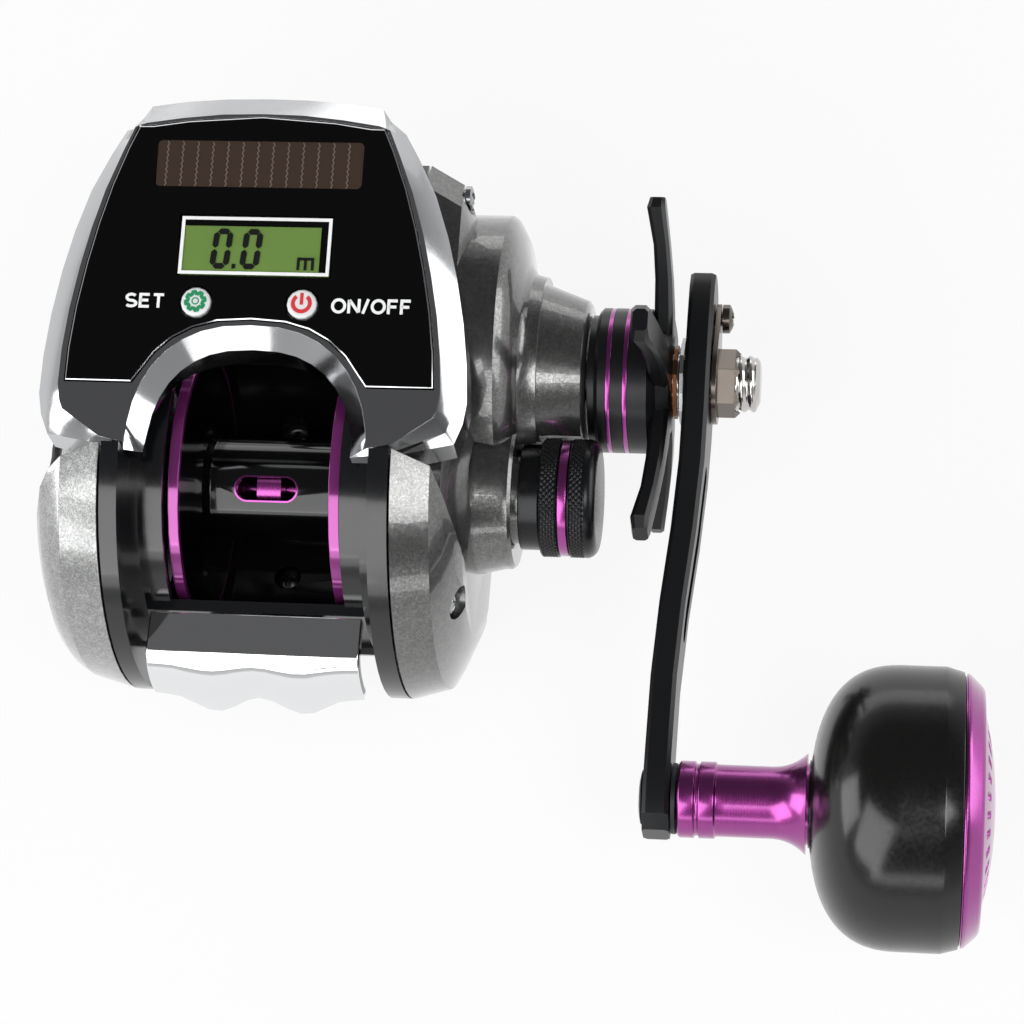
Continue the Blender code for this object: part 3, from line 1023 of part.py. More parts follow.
# Star drag: a grooved drum and five dished arms
def make_star():
    g, d, r = STAR_GROOVE_W, STAR_GROOVE_D, STAR_HUB_R
    x0, x1 = STAR_X, STAR_X + STAR_HUB_L
    bore = SHAFT_R + RUN
    g0, g1 = x0 + STAR_HUB_L * 0.22, x0 + STAR_HUB_L * 0.54
    profile = [(COLLAR_X, bore), (COLLAR_X, COLLAR_R), (x0, COLLAR_R), (x0, r - d * 2),
               (x0 + d * 2, r), (g0, r), (g0, r - d), (g0 + g, r - d), (g0 + g, r),
               (g1, r), (g1, r - d), (g1 + g, r - d), (g1 + g, r), (x1, r),
               (x1 + STAR_RAISE * 0.35, STAR_ROOT_R), (x1 + STAR_RAISE * 0.9, STAR_ROOT_R * 0.9),
               (x1 + STAR_RAISE, STAR_ROOT_R * 0.78), (x1 + STAR_RAISE, bore)]
    star = to_object("star_drag", *lathe(profile, (SHAFT_Y, SHAFT_Z), closed=True), BLACK_SATIN,
                     "shaft")
    reach_shares = (0.0, 0.22, 0.45, 0.68, 0.93, 1.0)
    dish_shares = (0.0, 0.04, 0.20, 0.50, 0.90, 1.0)
    width_shares = (1.15, 1.0, 0.86, 0.84, 0.92, 0.55)
    thick_shares = (1.0, 1.0, 0.92, 0.86, 1.0, 0.80)
    inner = STAR_ROOT_R * 0.62
    for k in range(STAR_ARMS):
        a = STAR_FIRST + 2 * math.pi * k / STAR_ARMS
        out, side = Vector((0, math.cos(a), math.sin(a))), Vector((0, -math.sin(a), math.cos(a)))
        rows = []
        for rs, ds, ws, ts in zip(reach_shares, dish_shares, width_shares, thick_shares):
            centre = Vector((0, SHAFT_Y, SHAFT_Z)) + out * (inner + rs * (STAR_R - inner))
            w, t = STAR_ARM_W * ws / 2, STAR_ARM_T * ts
            x = x1 + STAR_RAISE * 0.94 - t - STAR_DISH * ds
            e = t * STAR_EDGE_SHARE
            ring = [(x, -w + e), (x, w - e), (x + e, w), (x + t - e, w), (x + t, w - e),
                    (x + t, -w + e), (x + t - e, -w), (x + e, -w)]
            rows.append([centre + Vector((px, 0, 0)) + side * q for px, q in ring])
        join(star, to_object("star_arm_%d" % k, *loft(rows)))
    return star


make_star()

# Spring washers between the star and the arm
spring = SPRING_X
for name, cone, mat, r in (("copper_spacer", 0, COPPER, SPACER_R),
                           ("spring_washer", SPRING_CONE, STEEL, SPRING_R)):
    a0, a1 = spring + max(-cone, 0), spring + max(cone, 0)
    to_object(name, *lathe([(a0, SHAFT_R + SLIM), (a1, r), (a1 + SPRING_T, r),
                            (a0 + SPRING_T, SHAFT_R + SLIM)], (SHAFT_Y, SHAFT_Z), SMALL,
                           closed=True), mat, "shaft")
    spring += SPRING_T + abs(cone) + SLIM


# Handle arm: one blade from the balance tail, past the shaft, to the knob, bent once
def make_arm():
    place_shares = (1.0, 0.955, 0.80, 0.45, 0.0, -0.10, -0.21, -0.36, -0.52, -0.68, -0.84, -0.92,
                    -0.975, -1.0)
    width_shares = (0.30, 0.62, 0.84, 0.95, 1.0, 0.94, 0.80, 0.72, 0.68, 0.66, 0.70, 0.78,
                    0.66, 0.34)
    bend_shares = (0, 0, 0, 0, 0, 0, 0.05, 0.30, 0.70, 0.95, 1, 1, 1, 1)
    tip = ARM_REACH + ARM_END
    rows = []
    for ps, ws, bs in zip(place_shares, width_shares, bend_shares):
        y = SHAFT_Y + (ps * ARM_TAIL if ps > 0 else ps * tip)
        x, w, e = ARM_X - bs * ARM_BEND, ws * ARM_HALF, ARM_EDGE
        rows.append([(x + px, y, SHAFT_Z + q) for px, q in (
            (0, -w + e), (0, w - e), (e, w), (ARM_T - e, w), (ARM_T, w - e),
            (ARM_T, -w + e), (ARM_T - e, -w), (e, -w))])
    arm = to_object("handle_arm", *loft(rows), BLACK_SATIN, "shaft")
    flat = SHAFT_R - SHAFT_FLAT + SLIM
    a0 = math.asin(flat / (SHAFT_R + SLIM))
    hole = [(SHAFT_Y + p, SHAFT_Z + q) for p, q in
            arc(0, 0, SHAFT_R + SLIM, -a0, a0, 8) + arc(0, 0, SHAFT_R + SLIM, math.pi - a0,
                                                       math.pi + a0, 8)]
    half = ARM_SLOT_W / 2
    y0, y1 = (SHAFT_Y - s * ARM_REACH for s in ARM_SLOT_SHARES)
    slot = arc(y0 - half, SHAFT_Z, half, -90 * RAD, 90 * RAD, 6)
    slot += arc(y1 + half, SHAFT_Z, half, 90 * RAD, 270 * RAD, 6)
    x0, x1 = ARM_X - ARM_BEND - OVER, ARM_X + ARM_T + OVER
    knob_y = SHAFT_Y - ARM_REACH
    return cut(arm, to_object("arm_hole", *prism(hole, x0, x1)),
               to_object("arm_slot", *prism(slot, x0, x1)),
               to_object("pin_hole", *lathe([(x0, KNOB_PIN_R + SLIM), (x1, KNOB_PIN_R + SLIM)],
                                            (knob_y, SHAFT_Z), SMALL)),
               to_object("retainer_hole", *lathe(
                   [(ARM_X + ARM_T / 3, RETAINER_R + SLIM), (x1, RETAINER_R + SLIM)],
                   (SHAFT_Y + RETAINER_PLACE, SHAFT_Z), TINY)))


make_arm()

# Handle nut, its keeper plate and the keeper's screw
corner = NUT_FLAT / math.cos(30 * RAD)
nut = to_object("handle_nut", *lathe(
    [(NUT_X, 0), (NUT_X, corner), (NUT_X + NUT_T * 0.82, corner), (NUT_X + NUT_T, corner * 0.86),
     (NUT_X + NUT_T, 0)], (SHAFT_Y, SHAFT_Z), 6, phase=30 * RAD), STEEL, "shaft")
cut(nut, to_object("nut_bore", *lathe([(NUT_X - OVER, SHAFT_R + SLIM),
                                       (NUT_X + NUT_T + OVER, SHAFT_R + SLIM)],
                                      (SHAFT_Y, SHAFT_Z), SMALL)))
keeper_w = corner + KEEPER_RIM
keeper_end = SHAFT_Y + RETAINER_PLACE
keeper = to_object("nut_keeper", *prism(
    arc(keeper_end, SHAFT_Z, RETAINER_HEAD_R, -70 * RAD, 70 * RAD, 6)
    + arc(SHAFT_Y, SHAFT_Z, keeper_w, 60 * RAD, 300 * RAD, 20), NUT_X, NUT_X + PLATE_T),
    CHROME, "shaft")
cut(keeper, to_object("keeper_hex", *lathe(
    [(NUT_X - OVER, corner + SLIM), (NUT_X + PLATE_T + OVER, corner + SLIM)],
    (SHAFT_Y, SHAFT_Z), 6, phase=30 * RAD)),
    to_object("keeper_hole", *lathe([(NUT_X - OVER, RETAINER_R + SLIM),
                                     (NUT_X + PLATE_T + OVER, RETAINER_R + SLIM)],
                                    (keeper_end, SHAFT_Z), TINY)))
head = NUT_X + PLATE_T + SLIM
to_object("keeper_screw", *lathe(
    [(ARM_X + ARM_T / 3 + SLIM, 0), (ARM_X + ARM_T / 3 + SLIM, RETAINER_R), (head, RETAINER_R),
     (head, RETAINER_HEAD_R), (head + RETAINER_HEAD_T * 0.5, RETAINER_HEAD_R),
     (head + RETAINER_HEAD_T, RETAINER_HEAD_R * 0.6), (head + RETAINER_HEAD_T, 0)],
    (keeper_end, SHAFT_Z), SMALL), STEEL, "shaft")

# Handle knob: pin riveted in the arm; stem, ball, ring and cap turn on it
KNOB_C = (SHAFT_Y - ARM_REACH, SHAFT_Z)
pin_back = ARM_X - ARM_BEND - SLIM
washer_x = ARM_X - ARM_BEND + ARM_T + SLIM
stem_x = washer_x + KNOB_WASHER_T + SLIM
ball_x = stem_x + STEM_L
core_end = ball_x + STEM_CORE_L
pin_end = core_end - KNOB_BEARING_W
to_object("knob_pin", *lathe(
    [(pin_back - KNOB_PIN_HEAD_T, 0), (pin_back - KNOB_PIN_HEAD_T, KNOB_PIN_HEAD_R * 0.7),
     (pin_back - KNOB_PIN_HEAD_T / 2, KNOB_PIN_HEAD_R), (pin_back, KNOB_PIN_HEAD_R),
     (pin_back, KNOB_PIN_R),
     (washer_x, KNOB_PIN_R), (washer_x, STEM_COLLAR_R - STEM_GROOVE),
     (washer_x + KNOB_WASHER_T, STEM_COLLAR_R - STEM_GROOVE), (washer_x + KNOB_WASHER_T, KNOB_PIN_R),
     (pin_end, KNOB_PIN_R), (pin_end, 0)], KNOB_C, SMALL), STEEL, "shaft")
inner = KNOB_PIN_R + RUN
pocket = KNOB_BEARING_R + SEAT
collar = STEM_COLLAR_R
g = STEM_GROOVE
to_object("knob_stem", *lathe(
    [(stem_x, pocket), (stem_x, collar - g), (stem_x + g, collar), (stem_x + STEM_L * 0.13, collar),
     (stem_x + STEM_L * 0.14, collar - g), (stem_x + STEM_L * 0.155, collar - g),
     (stem_x + STEM_L * 0.165, collar), (stem_x + STEM_L * 0.29, collar),
     (stem_x + STEM_L * 0.30, STEM_R), (stem_x + STEM_L * 0.82, STEM_R),
     (stem_x + STEM_L * 0.90, STEM_R + g * 1.2), (stem_x + STEM_L * 0.96, STEM_R + g * 3.4),
     (ball_x - SEAT, STEM_R + g * 6), (ball_x - SEAT, STEM_CORE_R), (core_end, STEM_CORE_R),
     (core_end, pocket), (core_end - KNOB_BEARING_W - SEAT, pocket),
     (core_end - KNOB_BEARING_W - SEAT, inner), (stem_x + KNOB_BEARING_W + SEAT, inner),
     (stem_x + KNOB_BEARING_W + SEAT, pocket)], KNOB_C, 18, closed=True), MAGENTA, "knob")
for name, x in (("knob_bearing_inner", stem_x + SLIM), ("knob_bearing_outer", core_end - KNOB_BEARING_W)):
    to_object(name, *lathe(
        ring_profile(x, x + KNOB_BEARING_W, KNOB_PIN_R + SLIM, KNOB_BEARING_R), KNOB_C, SMALL,
        closed=True), STEEL, "knob")
ball_bore = STEM_CORE_R + SEAT
ball_shares = ((0.0, 0.31), (0.012, 0.44), (0.05, 0.60), (0.13, 0.755), (0.25, 0.872), (0.38, 0.947),
               (0.50, 0.985), (0.62, 1.0), (0.884, 1.0), (1.0, 0.965))
to_object("knob_ball", *lathe(
    [(ball_x + xs * BALL_L, rs * BALL_R) for xs, rs in ball_shares]
    + [(ball_x + BALL_L, 0), (core_end + SEAT, 0), (core_end + SEAT, ball_bore), (ball_x, ball_bore)],
    KNOB_C, 28, closed=True),
    BLACK_GLOSS, "knob")
ring_x = ball_x + BALL_L + SEAT
to_object("knob_ring", *lathe(
    [(ring_x, CAP_R + SEAT), (ring_x, BALL_R * 0.96), (ring_x + RING_L * 0.2, BALL_R * 0.95),
     (ring_x + RING_L * 0.85, BALL_R * 0.875), (ring_x + RING_L, BALL_R * 0.84),
     (ring_x + RING_L, CAP_R + SEAT)], KNOB_C, 28, closed=True), MAGENTA, "knob")
cap_top = ring_x + RING_L
to_object("knob_cap", *lathe(
    [(ring_x, 0), (ring_x, CAP_R), (cap_top, CAP_R), (cap_top + CAP_DOME * 0.55, CAP_R * 0.8),
     (cap_top + CAP_DOME, CAP_R * 0.3), (cap_top + CAP_DOME, 0)], KNOB_C, ROUND), MAGENTA, "knob")


# Thumb bar: a bent plate with a scalloped pad, and a tongue behind the bridge
def make_thumb_bar():
    count = 17
    rows = []
    for k in range(count):
        xs = -1 + 2 * k / (count - 1)
        u = abs(xs)
        low = 1 - BAR_WAVE_SHARE * math.cos(xs * BAR_WAVES * math.pi)
        if u > BAR_WING_SHARE:
            low *= 1 - BAR_WAVE_SHARE * (u - BAR_WING_SHARE) / (1 - BAR_WING_SHARE)
        outer, inner_side = [], []
        steps = 6
        for j in range(steps + 1):
            t = 0.5 * math.pi * j / steps
            py = BAR_FRONT - BAR_FLAT - BAR_PAD_Y * low * math.sin(t)
            pz = BAR_TOP - BAR_PAD_Z * low * (1 - math.cos(t))
            outer.append((py, pz))
            ny, nz = math.sin(t) * BAR_PAD_Z, math.cos(t) * BAR_PAD_Y
            size = math.hypot(ny, nz)
            inner_side.append((py + BAR_T * ny / size, pz - BAR_T * nz / size))
        ring = [(BAR_FRONT, BAR_TOP - BAR_T), (BAR_FRONT, BAR_TOP)] + outer + inner_side[::-1]
        rows.append([(xs * BAR_HALF, y, z) for y, z in ring])
    bar = to_object("thumb_bar", *loft(rows), CHROME)
    bridge_back = -(TROUGH_R + TROUGH_T) - RUN
    tongue = to_object("bar_tongue", *box(
        -TONGUE_HALF, TONGUE_HALF, bridge_back - TONGUE_T, bridge_back,
        BAR_TOP - BAR_T - TONGUE_L, BAR_TOP - BAR_T / 2))
    return join(bar, tongue)


make_thumb_bar()


# Worm: two crossing helical grooves, one right-handed and one left-handed
def make_worm():
    around, along = 16, 36
    start, stop = -WORM_HALF, WORM_HALF
    half_pitch_turns = WORM_TURNS
    rows = []
    for s in range(along + 1):
        x = start + (stop - start) * s / along
        ring = []
        for k in range(around):
            a = 2 * math.pi * k / around
            r = WORM_R
            travel = min(max(x / GUIDE_TRAVEL, -1.0), 1.0)
            for hand in (1, -1):
                phase = -math.pi / 2 + hand * travel * half_pitch_turns * math.pi
                off = (a - phase + math.pi) % (2 * math.pi) - math.pi
                if abs(x) > GUIDE_TRAVEL + WORM_GROOVE:
                    continue
                beyond = max(abs(x) - GUIDE_TRAVEL, 0.0)
                slope = GUIDE_TRAVEL / (half_pitch_turns * math.pi)
                dist = math.hypot(off * slope, beyond)
                depth = max(0.0, 1 - (dist / WORM_GROOVE) ** 2)
                r = min(r, WORM_R - WORM_DEPTH * min(depth * 1.6, 1.0))
            ring.append((x, WORM_Y + r * math.cos(a), WORM_Z + r * math.sin(a)))
        rows.append(ring)
    worm = to_object("worm_shaft", *loft(rows), STEEL, "worm")
    journal = [(LEFT_OUT + SEAT, WORM_JOURNAL_R), (start + BURY, WORM_JOURNAL_R)]
    drive = [(stop - BURY, WORM_JOURNAL_R), (CAM_FACE + LW_GEAR_W + SEAT, WORM_JOURNAL_R)]
    return join(worm, to_object("worm_journal_left", *lathe(journal, (WORM_Y, WORM_Z), TINY)),
                to_object("worm_journal_right", *lathe(drive, (WORM_Y, WORM_Z), TINY)))


make_worm()


# Tube round the worm, open underneath; the line guide slides on it
def make_level_wind():
    x0, x1 = LEFT_BAND + SEAT, RIGHT_BAND - SEAT
    a0, a1 = -math.pi / 2 + TUBE_OPEN, 3 * math.pi / 2 - TUBE_OPEN
    outline = arc(WORM_Y, WORM_Z, TUBE_R + TUBE_T, a0, a1, 26)
    outline += arc(WORM_Y, WORM_Z, TUBE_R, a1, a0, 26)
    to_object("level_wind_tube", *prism(outline, x0, x1), STEEL)
    bore = TUBE_R + TUBE_T + RUN
    outer = bore + GUIDE_T
    guide = to_object("line_guide", *lathe(
        [(-GUIDE_HALF, bore), (-GUIDE_HALF, outer), (GUIDE_HALF, outer), (GUIDE_HALF, bore)],
        (WORM_Y, WORM_Z), ROUND, closed=True), MATTE_BLACK)
    front = NOSE_Y - SEAT * 3
    neck0, neck1 = front - EYE_W, front
    post = [(WORM_Y + bore + SLIM, WORM_Z - GUIDE_T), (neck1 - GUIDE_T / 2, WORM_Z - GUIDE_T),
            (neck1, WORM_Z + GUIDE_T / 2), (neck1, EYE_Z + EYE_R),
            (neck0, EYE_Z + EYE_R), (neck0, WORM_Z + GUIDE_T * 1.6),
            (WORM_Y + bore + SLIM, WORM_Z + GUIDE_T)]
    head = Matrix.Translation(Vector((0, 0, EYE_Z))) @ frame_of((0, 1, 0))
    hold = EYE_R + SEAT
    join(guide,
         to_object("guide_post", *prism(post, -GUIDE_HALF * 0.8, GUIDE_HALF * 0.8)),
         to_object("guide_head", *lathe([(neck0, hold + GUIDE_T * 0.8), (neck1, hold + GUIDE_T * 0.8)],
                                        count=ROUND, place=head)),
         to_object("pawl_house", *lathe(
             [(-bore - PAWL_HOUSE_L, PAWL_R + GUIDE_T), (-bore - GUIDE_T / 3, PAWL_R + GUIDE_T)],
             count=SMALL, place=Matrix.Translation(Vector((0, WORM_Y, WORM_Z)))
             @ frame_of((0, 0, 1)))))
    down = Matrix.Translation(Vector((0, WORM_Y, WORM_Z))) @ frame_of((0, 0, 1))
    cut(guide,
        to_object("eye_seat", *lathe([(neck0 - OVER, hold), (neck1 + OVER, hold)], count=ROUND,
                                     place=head)),
        to_object("pawl_bore", *lathe([(-bore - PAWL_HOUSE_L - OVER, PAWL_R + RUN),
                                       (-TUBE_R, PAWL_R + RUN)], count=SMALL, place=down)))
    to_object("line_guide_eye", *lathe(
        [(neck0 - SLIM, EYE_BORE + EYE_LIP), (neck0 - SLIM, EYE_R), (neck1 + SLIM, EYE_R),
         (neck1 + SLIM, EYE_BORE + EYE_LIP), (neck1 - EYE_LIP, EYE_BORE), (neck0 + EYE_LIP, EYE_BORE)],
        count=ROUND, closed=True, place=head), STEEL)
    to_object("worm_pawl", *lathe(
        [(-bore - PAWL_HOUSE_L + SEAT, 0), (-bore - PAWL_HOUSE_L + SEAT, PAWL_R),
         (-WORM_R - RUN * 2, PAWL_R), (-WORM_R - RUN, PAWL_R * 0.5), (-WORM_R - RUN, 0)],
        count=SMALL, place=down), BRASS)


make_level_wind()


# Display housing: a wedge-shaped shell with an arched opening over the spool
def pod_outline():
    """Plan of the housing's wall from the left leg, counter-clockwise: x, y, part, bevel, drop."""
    side_shares = ((0.0, 0.955, 1.0), (0.045, 0.985, 1.0), (0.10, 1.0, 1.0), (0.21, 0.992, 1.0),
                   (0.33, 0.969, 1.0), (0.46, 0.930, 1.0), (0.58, 0.880, 0.95), (0.70, 0.814, 0.85),
                   (0.81, 0.725, 0.6), (0.884, 0.655, 0.35))
    front_shares = ((0.94, 0.62, 0.69), (0.975, 0.578, 1.06), (0.99, 0.40, 1.06), (0.998, 0.20, 1.01),
                    (1.0, 0.0, 1.0))
    leg = REAR_NOTCH
    right = []
    for ls, ws, bs in side_shares:
        y = POD_REAR + leg + ls * (POD_LEN - leg)
        right.append((ws * POD_HALF, y, "side", bs * EDGE_BEVEL, EDGE_DROP))
    for ls, ws, bs in front_shares:
        right.append((ws * POD_HALF, POD_REAR + ls * POD_LEN, "front", bs * FRONT_BEVEL, FRONT_DROP))
    rear = [(ARCH_HALF + ARCH_BEVEL * 1.1, POD_REAR, "rear", REAR_BEVEL, EDGE_DROP / 2),
            (POD_HALF * 0.72, POD_REAR + leg * 0.2, "rear", REAR_BEVEL, EDGE_DROP / 2)]
    arch = []
    steps = 9
    for k in range(steps + 1):
        t = 0.5 * math.pi * k / steps
        arch.append((ARCH_HALF * math.cos(t) ** 0.8, POD_REAR + ARCH_DEPTH * math.sin(t) ** 0.9,
                     "arch", ARCH_BEVEL, ARCH_DROP))
    arch[0] = (ARCH_HALF, POD_REAR, "arch", ARCH_BEVEL, EDGE_DROP)
    half = rear + right
    left_side = [(-p[0], *p[1:]) for p in half]
    ring = half + left_side[-2::-1]
    ring += [(-p[0], *p[1:]) for p in arch]
    ring += arch[-2::-1]
    return ring


def flat_ring(points, height):
    """Points of a plan at a height, each moved left by the housing's lean."""
    return [(x - POD_LEAN * (y - POD_REAR) / POD_LEN, y, height(y)) for x, y in points]


def make_pod():
    ring = pod_outline()
    plan = [p[:2] for p in ring]
    ledge = inset(plan, [-LEDGE_OUT if part == "side" else 0 for x, y, part, b, d in ring])
    top_plan = inset(plan, [0 if part == "front" else b for x, y, part, b, d in ring])
    top_plan = [(q[0], y - b) if part == "front" else
                (q[0], max(q[1], POD_REAR + REAR_BEVEL) if y <= POD_REAR + REAR_NOTCH / 4 else q[1])
                for q, (x, y, part, b, d) in zip(top_plan, ring)]
    rows = [flat_ring(ledge, under),
            [(*p[:2], p[2] - d - LEDGE_DROP) for p, (*_, d) in zip(flat_ring(ledge, deck), ring)],
            [(*p[:2], p[2] - d) for p, (*_, d) in zip(flat_ring(plan, deck), ring)],
            flat_ring(top_plan, deck)]
    pod = to_object("display_housing", *loft(rows), DARK_CHROME)
    cavity = cavity_plan(0)
    room = [flat_ring(cavity, lambda y: under(y) - OVER), flat_ring(cavity, lambda y: deck(y) - DECK_T)]
    ring_room = STEP_R + SEAT
    x0, x1 = LEFT_BAND - BURY - SEAT, RIGHT_BAND + BURY + SEAT
    panel_room = panel_plan(SEAT)
    cut(pod,
        to_object("pod_room", *loft(room)),
        to_object("pod_ring_room", *lathe([(x0, ring_room), (x1, ring_room)], count=FINE)),
        to_object("pod_panel_room", *loft([
            flat_ring(panel_room, lambda y: deck(y) - PANEL_T + PANEL_PROUD - SEAT),
            flat_ring(panel_room, lambda y: deck(y) + OVER)])),
        deck_slot("pod_lcd_slot", LCD_HALF + SEAT, LCD_Y, LCD_W / 2 + SEAT),
        *(to_object("pod_button_hole_%d" % k, *button_cutter(x)) for k, x in enumerate(BUTTONS_X)))
    return pod


def cavity_plan(gap):
    """Plan of the hollow in front of the arch, drawn in from the wall."""
    wall = POD_WALL + FRONT_BEVEL / 3 + gap
    right = [(x - wall, min(y, POD_FRONT - FRONT_BEVEL - wall)) for x, y, part, b, d in pod_outline()
             if part in ("side", "front") and x > BUTTON_HALF + wall and y > CAVITY_REAR]
    right = [(side_at(CAVITY_REAR)[0] - wall, CAVITY_REAR + gap)] + right
    return right + [(-x, y) for x, y in reversed(right)]


def side_at(at):
    """Where the housing's right side lies at a place along Y, and how wide its bevel is there."""
    pts = sorted((y, x, b) for x, y, part, b, d in pod_outline() if part == "side" and x > 0)
    return blend([(y, x) for y, x, b in pts], at), blend([(y, b) for y, x, b in pts], at)


def panel_plan(gap):
    """Plan of the glass: follows the housing's edge and steps round the arch."""
    y0 = PANEL_REAR - gap
    x, bevel = side_at(y0)
    corner_y = POD_FRONT - FRONT_BEVEL - PANEL_MARGIN * 2
    right = [(x - bevel - PANEL_MARGIN + gap, y0)]
    for x, y, part, b, d in pod_outline():
        if part == "side" and x > 0 and y > PANEL_REAR + PANEL_MARGIN:
            margin = PANEL_MARGIN * (1 + b / EDGE_BEVEL) / 2
            right.append((x - b - margin + gap, corner_y + gap if y > corner_y else y))
        if part == "front" and BUTTON_HALF < x < right[-1][0]:
            right.append((x - PANEL_MARGIN + gap, y - b - PANEL_FRONT_MARGIN + gap))
    front = POD_FRONT - FRONT_BEVEL - PANEL_FRONT_MARGIN + gap
    arch = []
    steps = 8
    reach = ARCH_BEVEL + PANEL_MARGIN * 0.9 - gap
    for k in range(steps + 1):
        t = 0.5 * math.pi * k / steps
        x = (ARCH_HALF + reach) * math.cos(t) ** 0.8
        y = POD_REAR + (ARCH_DEPTH + reach) * math.sin(t) ** 0.9
        if y > y0 + PANEL_MARGIN * 0.4:
            arch.append((x, y))
    arch.insert(0, (arch[0][0] + PANEL_MARGIN, y0))
    left = [(-x, y) for x, y in reversed(right)]
    return right + [(0, front)] + left + [(-x, y) for x, y in arch] + arch[-2::-1]


def deck_slot(name, half, y, w, low=None, high=None):
    low = (lambda v: deck(v) - DECK_T - OVER) if low is None else low
    high = (lambda v: deck(v) + OVER) if high is None else high
    pts = [(-half, y - w), (half, y - w), (half, y + w), (-half, y + w)]
    return to_object(name, *loft([flat_ring(pts, low), flat_ring(pts, high)]))


def deck_place(x, y):
    """A frame on the deck with +X along the deck's outward normal."""
    up = Vector((0, -DECK_SLOPE, 1)).normalized()
    return Matrix.Translation(Vector(flat_ring([(x, y)], deck)[0])) @ frame_of(up)


def button_cutter(x):
    return lathe([(-DECK_T - OVER, BUTTON_R + RUN), (OVER, BUTTON_R + RUN)], count=SMALL,
                 place=deck_place(x, BUTTON_Y))


BUTTONS_X = (BUTTON_MID - BUTTON_HALF, BUTTON_MID + BUTTON_HALF)
make_pod()


# Glass panel with windows for the cell and the display, and holes for the buttons
def make_panel():
    plan = panel_plan(0)
    panel = to_object("display_panel", *loft([
        flat_ring(plan, lambda y: deck(y) - PANEL_T + PANEL_PROUD),
        flat_ring(plan, lambda y: deck(y) + PANEL_PROUD)]), GLASS_BLACK)
    cut(panel,
        deck_slot("window_solar", SOLAR_HALF + SEAT, SOLAR_Y, SOLAR_W / 2 + SEAT),
        deck_slot("window_lcd", LCD_HALF + SEAT, LCD_Y, LCD_W / 2 + SEAT),
        *(to_object("panel_button_hole_%d" % k, *button_cutter(x)) for k, x in enumerate(BUTTONS_X)))
    solar = [(-SOLAR_HALF, SOLAR_Y - SOLAR_W / 2), (SOLAR_HALF, SOLAR_Y - SOLAR_W / 2),
             (SOLAR_HALF, SOLAR_Y + SOLAR_W / 2), (-SOLAR_HALF, SOLAR_Y + SOLAR_W / 2)]
    to_object("solar_cell", *loft([
        flat_ring(solar, lambda y: deck(y) + PANEL_PROUD / 2 - SOLAR_T),
        flat_ring(solar, lambda y: deck(y) + PANEL_PROUD / 2)]), SOLAR_BROWN)
    lcd = [(-LCD_HALF, LCD_Y - LCD_W / 2), (LCD_HALF, LCD_Y - LCD_W / 2),
           (LCD_HALF, LCD_Y + LCD_W / 2), (-LCD_HALF, LCD_Y + LCD_W / 2)]
    to_object("lcd_module", *loft([
        flat_ring(lcd, lambda y: deck(y) + PANEL_PROUD / 2 - LCD_T),
        flat_ring(lcd, lambda y: deck(y) + PANEL_PROUD / 2)]), LCD_GREEN)
    for name, x in zip(("set_button", "power_button"), BUTTONS_X):
        low = -DECK_T - BUTTON_STEM
        to_object(name, *lathe(
            [(low, 0), (low, BUTTON_R), (BUTTON_PROUD - BUTTON_EDGE, BUTTON_R),
             (BUTTON_PROUD, BUTTON_R - BUTTON_EDGE), (BUTTON_PROUD, 0)],
            count=SMALL, place=deck_place(x, BUTTON_Y)), BUTTON_WHITE)


make_panel()


# Inside the housing: circuit board, coin cell and the floor that closes it
def make_inside():
    plan = cavity_plan(RUN * 2)
    to_object("circuit_board", *loft([
        flat_ring(plan, lambda y: deck(y) - BOARD_DROP - BOARD_T),
        flat_ring(plan, lambda y: deck(y) - BOARD_DROP)]), BOARD_GREEN)
    under_board = -BOARD_DROP - BOARD_T - SEAT
    to_object("coin_cell", *lathe(
        [(under_board - CELL_T, 0), (under_board - CELL_T, CELL_R * 0.9),
         (under_board - CELL_T * 0.7, CELL_R), (under_board, CELL_R), (under_board, 0)],
        count=ROUND, place=deck_place(0, CELL_Y)), STEEL)
    floor = cavity_plan(SEAT)
    to_object("housing_floor", *loft([flat_ring(floor, under),
                                      flat_ring(floor, lambda y: under(y) + POD_FLOOR_T)]),
              MATTE_BLACK)


make_inside()


bpy.context.view_layer.update()
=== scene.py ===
"""Looks of a low-profile baitcasting reel with a line-counter display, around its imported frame."""

import json
import math

import bmesh
import bpy
import numpy as np
from mathutils import Matrix, Vector


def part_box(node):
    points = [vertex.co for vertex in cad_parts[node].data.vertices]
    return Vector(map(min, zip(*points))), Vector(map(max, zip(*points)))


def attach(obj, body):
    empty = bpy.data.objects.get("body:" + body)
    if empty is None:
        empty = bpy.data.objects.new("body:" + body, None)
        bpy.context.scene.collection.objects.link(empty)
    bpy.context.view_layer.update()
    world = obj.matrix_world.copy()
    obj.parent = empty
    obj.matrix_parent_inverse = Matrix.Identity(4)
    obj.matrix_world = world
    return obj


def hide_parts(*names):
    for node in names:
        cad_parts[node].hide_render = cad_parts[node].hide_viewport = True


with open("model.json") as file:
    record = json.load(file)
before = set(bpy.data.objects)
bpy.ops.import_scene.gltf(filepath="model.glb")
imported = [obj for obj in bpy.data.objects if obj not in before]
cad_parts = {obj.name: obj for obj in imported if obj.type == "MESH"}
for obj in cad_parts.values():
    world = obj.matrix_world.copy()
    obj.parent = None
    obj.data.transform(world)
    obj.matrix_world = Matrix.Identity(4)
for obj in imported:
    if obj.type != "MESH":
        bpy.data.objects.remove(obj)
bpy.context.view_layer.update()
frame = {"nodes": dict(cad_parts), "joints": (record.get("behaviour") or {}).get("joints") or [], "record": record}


# Frame: one die-cast body with two side plates, the trough under the spool and the cross bars.
# It is sprayed gloss black, so it shows the studio in long soft streaks.
MM = 0.001
BLACK_LACQUER = "101113"
